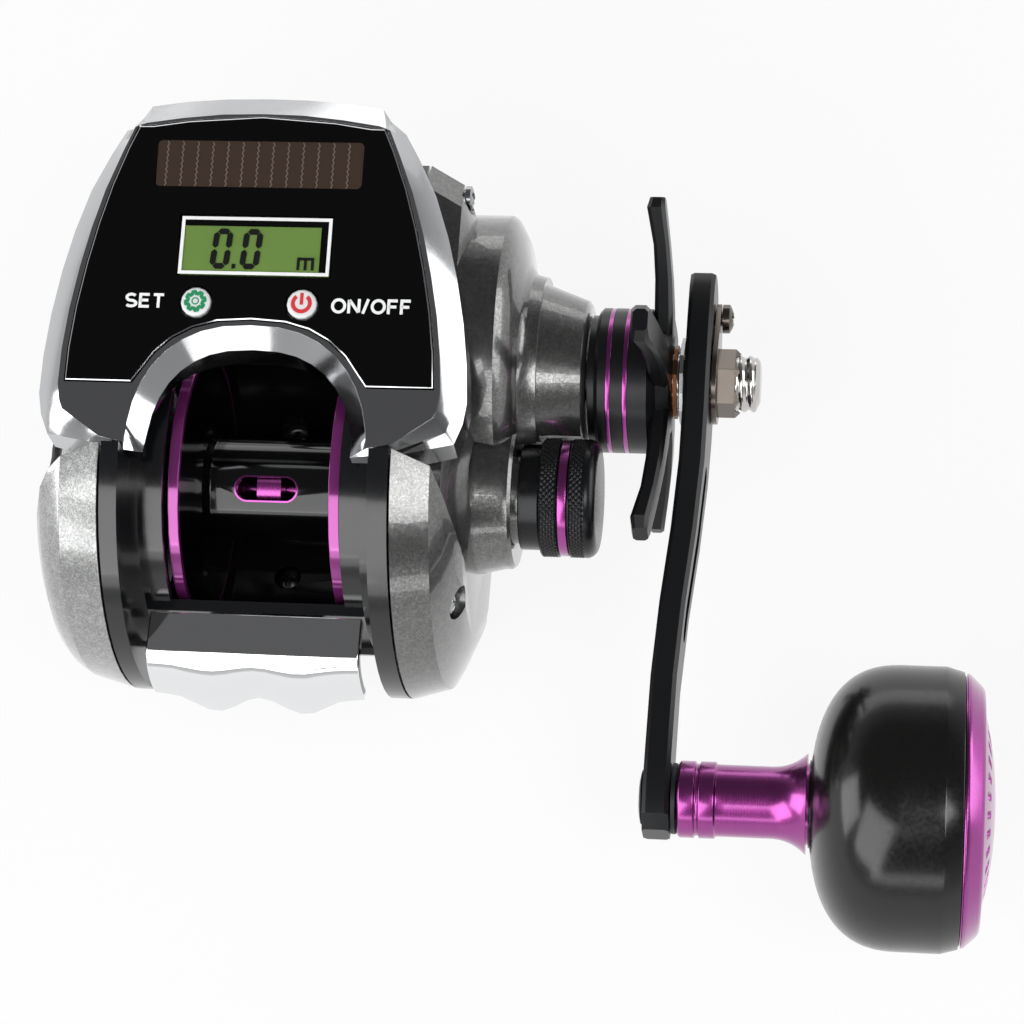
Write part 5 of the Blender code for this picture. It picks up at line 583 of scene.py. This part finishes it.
left, mid, right = UNIT_X
foot, head = UNIT_Y
dot = stroke([(x, FIGURE_BASE) for x in DOT_X], DOT_MM)
unit = [stroke([(left, foot), (left, head), (right, head), (right, foot)], UNIT_LINE_MM),
        stroke([(mid, foot), (mid, head)], UNIT_LINE_MM)]
printed("counter_figures", [*nought(LEFT_NOUGHT, FIGURE_BASE), *nought(RIGHT_NOUGHT, FIGURE_BASE),
                            dot, *unit], segment_ink)

# Lettering: plain strokes of even width, each letter in a box one unit high
LETTER_STROKE_SHARE, LETTER_GAP = 0.19, 0.24
SET_MM, ON_OFF_MM = (-16.6, -11.5, 13.2, 15.1), (9.5, 19.6, 13.0, 14.95)


def oval(middle, reach, degrees):
    """Points of an oval: its middle, plus its two half widths times cosine and sine."""
    turn = np.radians(degrees)
    return np.stack([middle[0] + reach[0] * np.cos(turn), middle[1] + reach[1] * np.sin(turn)], 1)


bowl = np.linspace(0, 1, 14)
letters = {
    "S": (0.58, [np.concatenate([oval((0.29, 0.74), (0.27, 0.26), 35 + 235 * bowl),
                                 oval((0.29, 0.24), (0.29, 0.24), 90 - 240 * bowl)[1:]])]),
    "E": (0.52, [[(0.52, 0), (0, 0), (0, 1), (0.52, 1)], [(0, 0.52), (0.47, 0.52)]]),
    "T": (0.60, [[(0, 1), (0.60, 1)], [(0.30, 1), (0.30, -0.09)]]),
    "O": (0.70, [oval((0.35, 0.5), (0.35, 0.5), np.linspace(0, 360, 28, endpoint=False))]),
    "N": (0.58, [[(0, -0.09), (0, 1)], [(0.02, 1), (0.56, 0)], [(0.58, 0), (0.58, 1.09)]]),
    "F": (0.50, [[(0, -0.09), (0, 1), (0.50, 1)], [(0, 0.50), (0.44, 0.50)]]),
    "/": (0.28, [[(0, -0.09), (0.28, 1.09)]]),
}


def word(name, text, x0, x1, y0, y1):
    """Letters side by side, stretched so that the word fills the given box on the deck."""
    wide = sum(letters[sign][0] for sign in text) + LETTER_GAP * (len(text) - 1)
    width = (y1 - y0) * LETTER_STROKE_SHARE
    tall, across = y1 - y0 - width, (x1 - x0 - width) / wide
    at, strokes = 0.0, []
    for sign in text:
        for path in letters[sign][1]:
            flat = np.asarray(path, float) * (across, tall)
            flat = flat + (x0 + width / 2 + at * across, y0 + width / 2)
            strokes.append(stroke(flat, width, 0.01, sign == "O"))
        at += letters[sign][0] + LETTER_GAP
    return printed(name, strokes, white_ink)


word("word_set", "SET", *SET_MM)
word("word_on_off", "ON/OFF", *ON_OFF_MM)

# Behind the window: the circuit board, its coin cell and the nylon floor that closes the shell
board = fine_grain("glass_epoxy_board", "1F5A33", roughness=0.45, grain_mm=0.3, depth_mm=0.01)
paint(nodes["circuit_board"], board)
paint(nodes["coin_cell"], ground)
dressed("housing_floor", dial_nylon, 0.1)


# Buttons: two white silicone caps that stand a little above the window, printed with a green
# cogwheel for setting and a red standby sign.
BUTTON_WHITE, SIGN_GREEN, SIGN_RED = "D9DADA", "1D8B5B", "C8323A"
SIGN_LIFT_MM, BUTTON_TALL_MM, MIDDLE_SHARE = 0.36, 2.2, 0.55
COG_R, COG_LINE, COG_TEETH, COG_TOOTH, COG_HOLE_R, COG_HOLE_LINE = 1.08, 0.42, 8, 0.14, 0.4, 0.16
ARC_R, ARC_LINE, ARC_START, ARC_STOP = 1.06, 0.5, 128, 412
STANDBY_BAR, STANDBY_BAR_LINE = (-0.2, 1.32), 0.44
rubber = fine_grain("white_silicone_rubber", BUTTON_WHITE, roughness=0.45, grain_mm=0.2,
                    depth_mm=0.01)
green_ink = fine_grain("green_enamel_ink", SIGN_GREEN, roughness=0.45, grain_mm=0.15,
                       depth_mm=0.004)
red_ink = fine_grain("red_enamel_ink", SIGN_RED, roughness=0.45, grain_mm=0.15, depth_mm=0.004)
for node in ("set_button", "power_button"):
    dressed(node, rubber, 0.12)


def around(middle, radius, start=0.0, stop=360.0, steps=96, teeth=0, tooth=0.0):
    """Points round a circle; teeth raise the radius by a squared-off wave."""
    turn = np.radians(np.linspace(start, stop, steps, endpoint=stop - start < 360))
    r = radius + tooth * np.tanh(4 * np.sin(teeth * turn))
    return np.stack([middle[0] + r * np.cos(turn), middle[1] + r * np.sin(turn)], 1)


# A cap stands square to the sloping deck, so its top lies nearer to the angler than its middle
lean = BUTTON_TALL_MM * math.sin(TILT) * MIDDLE_SHARE
spots = {}
for node in ("set_button", "power_button"):
    middle = sum(box_mm(node)) / 2
    spots[node] = (middle[0], middle[1] - spool_axis[0] - lean)
left, right = spots["set_button"], spots["power_button"]
printed("cogwheel_sign", [stroke(around(left, COG_R, teeth=COG_TEETH, tooth=COG_TOOTH), COG_LINE,
                                 SIGN_LIFT_MM, True),
                          stroke(around(left, COG_HOLE_R, steps=32), COG_HOLE_LINE, SIGN_LIFT_MM,
                                 True)], green_ink, "set")
printed("standby_sign", [stroke(around(right, ARC_R, ARC_START, ARC_STOP), ARC_LINE, SIGN_LIFT_MM),
                         stroke([(right[0], right[1] + end) for end in STANDBY_BAR],
                                STANDBY_BAR_LINE, SIGN_LIFT_MM)], red_ink, "power")


# Thumb bar: a moulded ABS lever plated with bright chrome, sliding down between the plates.
# Its lobed pad mirrors the pale table.
BRIGHT_CHROME = "E6E7E8"
chrome = gloss("bright_chrome_plated_abs", BRIGHT_CHROME, 0.05, 4.0, 0.05, 1.2, 0.02, Metallic=1.0)
dressed("thumb_bar", chrome, 0.25)


# Cast control: an aluminium cap with two bands of diamond knurling rolled into its rim, black
# anodised, with a magenta ring in the waist between them. It screws over the cover's neck.
KNURLS, KNURL_DEPTH, KNURL_STEP = 64, 0.17, 0.075
BAND_GAP, REAR_GAP, FRONT_GAP, WAIST_DEEP, WAIST_GAP = 0.3, 0.35, 1.6, 0.9, 0.15
SKIRT_L, SKIRT_R, NECK_R, RIM_CUT, END_ROUND, END_WALL = 2.6, 6.8, 6.4, 0.3, 1.5, 4.6
FILLET_STEPS, SHORT_SIDE_SHARE = 4, 0.4
cap_low, cap_high = box_mm("cast_control_knob")
ring_low, ring_high = box_mm("cast_control_ring")
cap_r, ring_r = (cap_high[1] - cap_low[1]) / 2, (ring_high[1] - ring_low[1]) / 2
flange, waist = cap_low[0] + SKIRT_L, cap_r - WAIST_DEEP
rear_band = (flange + REAR_GAP, ring_low[0] - BAND_GAP)
front_band = (ring_high[0] + BAND_GAP, cap_high[0] - FRONT_GAP)


def turned(name, profile, middle, columns=160, relief=None, loop=False):
    """A lathe surface about X: each (x, radius) of the profile is swept round the middle (y, z),
    and relief, a function of x and angle, is added to the radius."""
    profile = np.asarray(profile, float)
    angle = np.linspace(0, 2 * np.pi, columns, endpoint=False)[None, :]
    x, r = profile[:, :1] + 0 * angle, profile[:, 1:] + 0 * angle
    if relief is not None:
        r = np.where(r > 0, r + relief(x, angle), r)
    grid = np.stack([x, middle[0] + r * np.cos(angle), middle[1] + r * np.sin(angle)], -1)
    return skin(name, [grid], loop)


def filleted(points, radius):
    """A profile with its corners rounded: each inner corner becomes a short curve that starts and
    ends the radius away from it, or at four tenths of a shorter side."""
    points = np.asarray(points, float)
    bend = np.linspace(0, 1, FILLET_STEPS)[:, None]
    rows = [points[:1]]
    for before, here, after in zip(points, points[1:], points[2:]):
        ways = [before - here, after - here]
        first, last = (here + way * min(radius / np.linalg.norm(way), SHORT_SIDE_SHARE)
                       for way in ways)
        rows.append(first * (1 - bend) ** 2 + 2 * here * bend * (1 - bend) + last * bend ** 2)
    return np.concatenate(rows + [points[-1:]])


def knurling(x, angle):
    """Diamond pyramids: the product of two triangle waves that run round and along, crossed."""
    u, v = angle * KNURLS / (2 * np.pi), x * KNURLS / (2 * np.pi * cap_r)
    ridge = abs(2 * ((u + v) % 1) - 1) * abs(2 * ((u - v) % 1) - 1)
    inside = np.zeros(x.shape, bool)
    for start, stop in (rear_band, front_band):
        inside |= (x > start) & (x < stop)
    return np.where(inside, KNURL_DEPTH * (ridge * 1.6 - 1).clip(-1, 0), 0.0)


back = filleted([(cap_low[0], NECK_R), (cap_low[0], SKIRT_R), (flange, SKIRT_R),
                 (flange, cap_r - RIM_CUT), (flange + RIM_CUT, cap_r)], 0.12)
bands = []
for start, stop in (rear_band, front_band):
    steps = np.arange(start, stop, KNURL_STEP)
    bands.append(np.stack([steps, np.full(len(steps), cap_r)], 1))
start, stop = ring_low[0] - WAIST_GAP, ring_high[0] + WAIST_GAP
trench = [(start, cap_r), (start, waist), (stop, waist), (stop, cap_r)]
swell = np.linspace(0, np.pi / 2, 12)
front = np.stack([cap_high[0] - END_ROUND * (1 - np.sin(swell)),
                  cap_r - END_ROUND * (1 - np.cos(swell))], 1)
inside = [(cap_high[0], 0), (cap_high[0] - END_WALL, 0), (cap_high[0] - END_WALL, NECK_R)]
profile = np.concatenate([back, bands[0], trench, bands[1], front, inside])
cap = turned("knurled_cast_cap", profile, spool_axis, KNURLS * 6, knurling, True)
cap_black = fine_grain("black_anodised_knurling", "17181A", roughness=0.26, grain_mm=GRAIN_MM,
                       depth_mm=0.006, metallic=0.5)
stand_for(cap, "cast_control_knob", cap_black)
foot_r = waist + 0.15
profile = filleted([(ring_low[0], foot_r), (ring_low[0], ring_r), (ring_high[0], ring_r),
                    (ring_high[0], foot_r)], 0.15)
ring = turned("dyed_cap_ring", profile, spool_axis, loop=True)
stand_for(ring, "cast_control_ring", anodised)


# Star drag: a five-armed wheel forged from aluminium and black anodised; two grooves turned
# into its hub afterwards are dyed magenta.
HUB_START, HUB_R, GROOVES, GROOVE_W = 0.9, 9.5, (1.496, 3.672), 0.65
DYE_GAP, DYE_DEEP, DYE_SUNK, DYE_ROUND = 0.03, 0.24, 0.02, 0.06
crank = next(joint["pos_m"] for joint in frame["joints"] if joint["name"] == "handle_spin")
shaft_axis = (crank[1] / MM, crank[2] / MM)
star_black = fine_grain("black_anodised_forging", "18191B", roughness=0.3, grain_mm=GRAIN_MM,
                        depth_mm=0.008, metallic=0.45)
dressed("star_drag", star_black, 0.3)
hub_start = box_mm("star_drag")[0][0] + HUB_START
for number, at in enumerate(GROOVES):
    start, stop = hub_start + at + DYE_GAP, hub_start + at + GROOVE_W - DYE_GAP
    profile = filleted([(start, HUB_R - DYE_DEEP), (start, HUB_R - DYE_SUNK),
                        (stop, HUB_R - DYE_SUNK), (stop, HUB_R - DYE_DEEP)], DYE_ROUND)
    dyed = turned("dyed_hub_groove_%d" % number, profile, shaft_axis, loop=True)
    paint(dyed, anodised)
    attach(dyed, "star")
copper = turned_metal("tarnished_copper", "74482C", 0.35, 0.1)
paint(nodes["copper_spacer"], copper)
paint(nodes["spring_washer"], ground)


# Drive shaft and crank: a chromed steel shaft with a rolled thread at its tip, a satin black
# aluminium arm, a hexagon nut with its keeper plate and the keeper's screw.
THREAD_MM, THREAD_DEEP, THREAD_FADE, THREAD_STEP, THREAD_END = 1.25, 0.3, 0.3, 0.06, 0.5
SHAFT_THIN_R, SHAFT_SHOULDER, SHAFT_TIP = 3.0, 27.75, ((0.4, 0.25), (0.12, 0.7), (0, 1.1))
shaft_low, shaft_high = box_mm("drive_shaft")
shaft_r = (shaft_high[1] - shaft_low[1]) / 2
thread_start = box_mm("handle_nut")[1][0] - 0.4


def thread(x, angle):
    """A rounded thread: a wave that moves on by one pitch in each turn, faded in at its start."""
    wave = 0.5 - 0.5 * np.cos(2 * np.pi * (x / THREAD_MM) - angle)
    return -THREAD_DEEP * wave * np.clip((x - thread_start) / THREAD_FADE, 0, 1)


along = np.arange(thread_start, shaft_high[0] - THREAD_END, THREAD_STEP)
profile = np.concatenate([
    [(shaft_low[0], 0), (shaft_low[0], SHAFT_THIN_R), (SHAFT_SHOULDER, SHAFT_THIN_R),
     (SHAFT_SHOULDER, shaft_r)], np.stack([along, np.full(len(along), shaft_r)], 1),
    [(shaft_high[0] - back, shaft_r - drop) for back, drop in SHAFT_TIP], [(shaft_high[0], 0)]])
hard_chrome = turned_metal("hard_chromed_steel", "C4C2BF", 0.14, 0.12)
stand_for(turned("threaded_shaft", profile, shaft_axis, relief=thread), "drive_shaft",
          hard_chrome)
arm_black = fine_grain("satin_black_anodised_arm", "161719", roughness=0.33, grain_mm=GRAIN_MM,
                       depth_mm=0.008, metallic=0.4)
dressed("handle_arm", arm_black, 0.3)
warm_steel = turned_metal("turned_nut_steel", "67605A", 0.2, 0.1)
dressed("handle_nut", warm_steel, 0.2)
dressed("nut_keeper", warm_steel, 0.08)
recessed_screw("keeper_screw", warm_steel, axis=0, head_mm=1.5, shank_mm=0.9)
dressed("knob_pin", black_steel, 0.1)


# Knob: a hollow ball moulded in gloss black ABS on a magenta aluminium stem, closed by a turned
# ring and a shallow domed cap with a circle of notches.
BALL_POWER, ROUND_SHARE, FACET_SHARE, FACET_DROP_SHARE = 2.6, 0.62, 0.884, 0.035
BORE_R, BORE_LIP, CORE_R, PIN_R, POCKET_R, POCKET_L, STEM_GAP = 5.3, 0.1, 5.0, 2.7, 3.9, 2.5, 0.3
cap_low, cap_high = box_mm("knob_cap")
ring_low, ring_high = box_mm("knob_ring")
ball_low, ball_high = box_mm("knob_ball")
stem_low, stem_high = box_mm("knob_stem")
knob_axis = tuple((cap_low + cap_high)[1:] / 2)
ball_r, ball_l = (ball_high[1] - ball_low[1]) / 2, ball_high[0] - ball_low[0]
knob_gloss = gloss("gloss_black_moulded_abs", "0C0C0B", 0.2, 5.0, 0.02, 0.5, 0.04)

# Ball: the power of the radius and of the way from its widest ring add up to one
swell = np.linspace(0.985, 0.0, 60)
shell = np.stack([ball_low[0] + ROUND_SHARE * ball_l * (1 - swell),
                  np.maximum(ball_r * (1 - swell ** BALL_POWER) ** (1 / BALL_POWER),
                             BORE_R + BORE_LIP)], 1)
facet = ball_low[0] + FACET_SHARE * ball_l
bore = [(stem_high[0] + STEM_GAP, 0), (stem_high[0] + STEM_GAP, BORE_R), (ball_low[0], BORE_R),
        (ball_low[0], BORE_R + BORE_LIP)]
rim = filleted([(facet - 1, ball_r), (facet, ball_r),
                (ball_high[0], ball_r * (1 - FACET_DROP_SHARE)),
                (ball_high[0], ball_r * 0.9)], 0.12)
profile = np.concatenate([bore, shell, rim, [(ball_high[0], 0)]])
stand_for(turned("moulded_ball", profile, knob_axis, 200), "knob_ball", knob_gloss)

# Stem: two grooved collars, a straight grip and a flare that rises with a power of its way
COLLAR_R, GRIP_R, FLARE_L, FLARE_POWER = 4.75, 4.45, 4.6, 2.4
COLLARS = ((0, POCKET_R), (0, GRIP_R), (0.3, COLLAR_R), (2.05, COLLAR_R), (2.2, GRIP_R),
           (2.55, GRIP_R), (2.7, COLLAR_R), (4.55, COLLAR_R), (4.75, GRIP_R), (6, GRIP_R))
flare_r = (stem_high[1] - stem_low[1]) / 2
start, stop, end = stem_low[0], ball_low[0] - STEM_GAP, stem_high[0]
collars = filleted([(start + along, r) for along, r in COLLARS], 0.1)
way = np.linspace(0, 1, 24)
flare = np.stack([stop - FLARE_L * (1 - way), GRIP_R + (flare_r - GRIP_R) * way ** FLARE_POWER], 1)
core = [(stop, CORE_R), (end, CORE_R), (end, POCKET_R), (end - POCKET_L, POCKET_R),
        (end - POCKET_L, PIN_R), (start + POCKET_L, PIN_R), (start + POCKET_L, POCKET_R)]
stand_for(turned("turned_stem", np.concatenate([collars, flare, core]), knob_axis, 128, None,
                 True), "knob_stem", anodised)

# Ring: a turned band with a shoulder inside the ball, whose front narrows towards the cap
SEAT_GAP, SHOULDER_L, SHOULDER_STEP, RING_FILLET = 0.25, 0.28, 0.35, 0.25
disc_r, wide = (cap_high[1] - cap_low[1]) / 2, (ring_high[1] - ring_low[1]) / 2
seat_r, shoulder = disc_r + SEAT_GAP, ring_low[0] - SHOULDER_L
profile = filleted([(shoulder, seat_r), (shoulder, wide - SHOULDER_STEP),
                    (ring_low[0], wide - SHOULDER_STEP), (ring_low[0], wide),
                    (ring_low[0] + 0.4, wide * 0.99), (ring_high[0] - 0.3, wide * 0.905),
                    (ring_high[0], wide * 0.875), (ring_high[0], seat_r)], RING_FILLET)
stand_for(turned("turned_knob_ring", profile, knob_axis, 200, None, True), "knob_ring", anodised)

# Cap: a dome that falls with a power of the radius, less a circle of short notches
NOTCHES, NOTCH_MID_SHARE, NOTCH_HALF_MM, NOTCH_DEEP_MM, DOME_POWER = 28, 0.80, 1.0, 0.5, 2.2
angle = np.linspace(0, 2 * np.pi, NOTCHES * 12, endpoint=False)[None, :]
radius = np.linspace(0, disc_r, 56)[:, None]
within = np.clip((NOTCH_HALF_MM - abs(radius - disc_r * NOTCH_MID_SHARE)) / 0.3, 0, 1)
beside = np.clip((0.2 - abs((angle * NOTCHES / (2 * np.pi)) % 1 - 0.5)) / 0.08, 0, 1)
dome = cap_high[0] - (cap_high[0] - ring_high[0]) * (radius / disc_r) ** DOME_POWER
top = dome - NOTCH_DEEP_MM * within * beside
x = np.concatenate([top, np.full((2, angle.size), cap_low[0])])
r = np.concatenate([radius, [[disc_r], [0.0]]])
grid = np.stack([x, knob_axis[0] + r * np.cos(angle), knob_axis[1] + r * np.sin(angle)], -1)
stand_for(skin("notched_knob_cap", [grid]), "knob_cap", anodised)


# Studio: a pale table under a dark ceiling, six soft boxes, and the camera of the picture.
# The table shows white to the camera and in mirrors, and takes the reel's shadow.
TABLE_WHITE, TABLE_GLOW, TABLE_HALF, TABLE_DROP_MM = "E4E4E4", 0.88, 4.0, 0.6
LOW_LIGHT, CEILING_LIGHT, CEILING_FROM = (0.7, 0.7, 0.7, 1), (0.12, 0.12, 0.122, 1), 0.6
WHITE = (1, 1, 1, 1)
made, tree, shader = finish("pale_table", Base_Color=linear(TABLE_WHITE), Roughness=0.9)
output = tree.nodes["Material Output"]
ray = add(tree, "LightPath")
seen = add(tree, "Math", {0: ray.outputs["Is Camera Ray"], 1: ray.outputs["Is Glossy Ray"]},
           operation="MAXIMUM")
seen = add(tree, "Math", {0: seen.outputs["Value"], 1: ray.outputs["Is Transmission Ray"]},
           operation="MAXIMUM")
share = add(tree, "Math", {0: seen.outputs["Value"], 1: TABLE_GLOW}, operation="MULTIPLY")
glow = add(tree, "Emission", {"Color": WHITE, "Strength": 1.0})
mixed = add(tree, "MixShader", {0: share.outputs["Value"], 1: shader.outputs["BSDF"],
                                2: glow.outputs["Emission"]})
tree.links.new(mixed.outputs["Shader"], output.inputs["Surface"])
corners = TABLE_HALF * np.array([(-1, -1), (1, -1), (1, 1), (-1, 1)])
mesh = bpy.data.meshes.new("table")
mesh.from_pydata([(x, y, -TABLE_DROP_MM * MM) for x, y in corners.tolist()], [], [(0, 1, 2, 3)])
table = bpy.data.objects.new("table", mesh)
bpy.context.scene.collection.objects.link(table)
paint(table, made)

world = bpy.data.worlds.new("studio_room")
bpy.context.scene.world = world
world.use_nodes = True
tree = world.node_tree
view = add(tree, "TexCoord").outputs["Generated"]
part = add(tree, "SeparateXYZ", {"Vector": view})
ramp = add(tree, "ValToRGB", {"Fac": part.outputs["Z"]})
stops = ramp.color_ramp.elements
stops[0].position, stops[0].color = 0.0, LOW_LIGHT
stops[1].position, stops[1].color = CEILING_FROM, CEILING_LIGHT
ray = add(tree, "LightPath")
white = add(tree, "Mix", {0: ray.outputs["Is Camera Ray"], 6: ramp.outputs["Color"], 7: WHITE},
            data_type="RGBA")
tree.links.new(white.outputs[2], tree.nodes["Background"].inputs["Color"])

# Soft boxes: each has a name, a place, a width and height in metres, and a power in watts
AIM = Vector((0.02, -0.01, 0.025))
BOXES = (("main_softbox", (-0.24, -0.45, 0.45), 0.50, 0.55, 3.2),
         ("left_softbox", (-0.62, -0.10, 0.30), 0.40, 0.45, 2.2),
         ("right_softbox", (0.62, 0.12, 0.20), 0.50, 0.30, 1.4),
         ("high_softbox", (0.30, -0.24, 0.60), 0.28, 0.28, 1.5),
         ("low_strip", (0.06, -0.78, 0.225), 0.68, 0.13, 0.6),
         ("far_softbox", (-0.05, 0.74, 0.12), 0.90, 0.22, 0.8))
for name, place, wide, tall, watts in BOXES:
    lamp = bpy.data.lights.new(name, "AREA")
    lamp.shape = "RECTANGLE"
    lamp.size, lamp.size_y, lamp.energy = wide, tall, watts
    holder = bpy.data.objects.new(name, lamp)
    holder.location = place
    holder.rotation_euler = (Vector(place) - AIM).to_track_quat("Z", "Y").to_euler()
    bpy.context.scene.collection.objects.link(holder)

# Camera: seen from the angler's side and above, with a long lens
LOOK, ACROSS, UPWARD = ((0.125, -0.37167, 0.91991), (0.99171, 0.07462, -0.10461),
                        (-0.02976, 0.92536, 0.37791))
CAMERA_PLACE = (0.0799, -0.1571, 0.3892)
SENSOR_MM, LENS_MM = 36.0, 108.1
lens = bpy.data.cameras.new("camera")
lens.sensor_width, lens.lens = SENSOR_MM, LENS_MM
camera = bpy.data.objects.new("camera", lens)
turn = Matrix([ACROSS, UPWARD, LOOK]).transposed().to_4x4()
camera.matrix_world = Matrix.Translation(CAMERA_PLACE) @ turn
bpy.context.scene.collection.objects.link(camera)
bpy.context.scene.camera = camera
bpy.context.scene.view_settings.view_transform = "Standard"
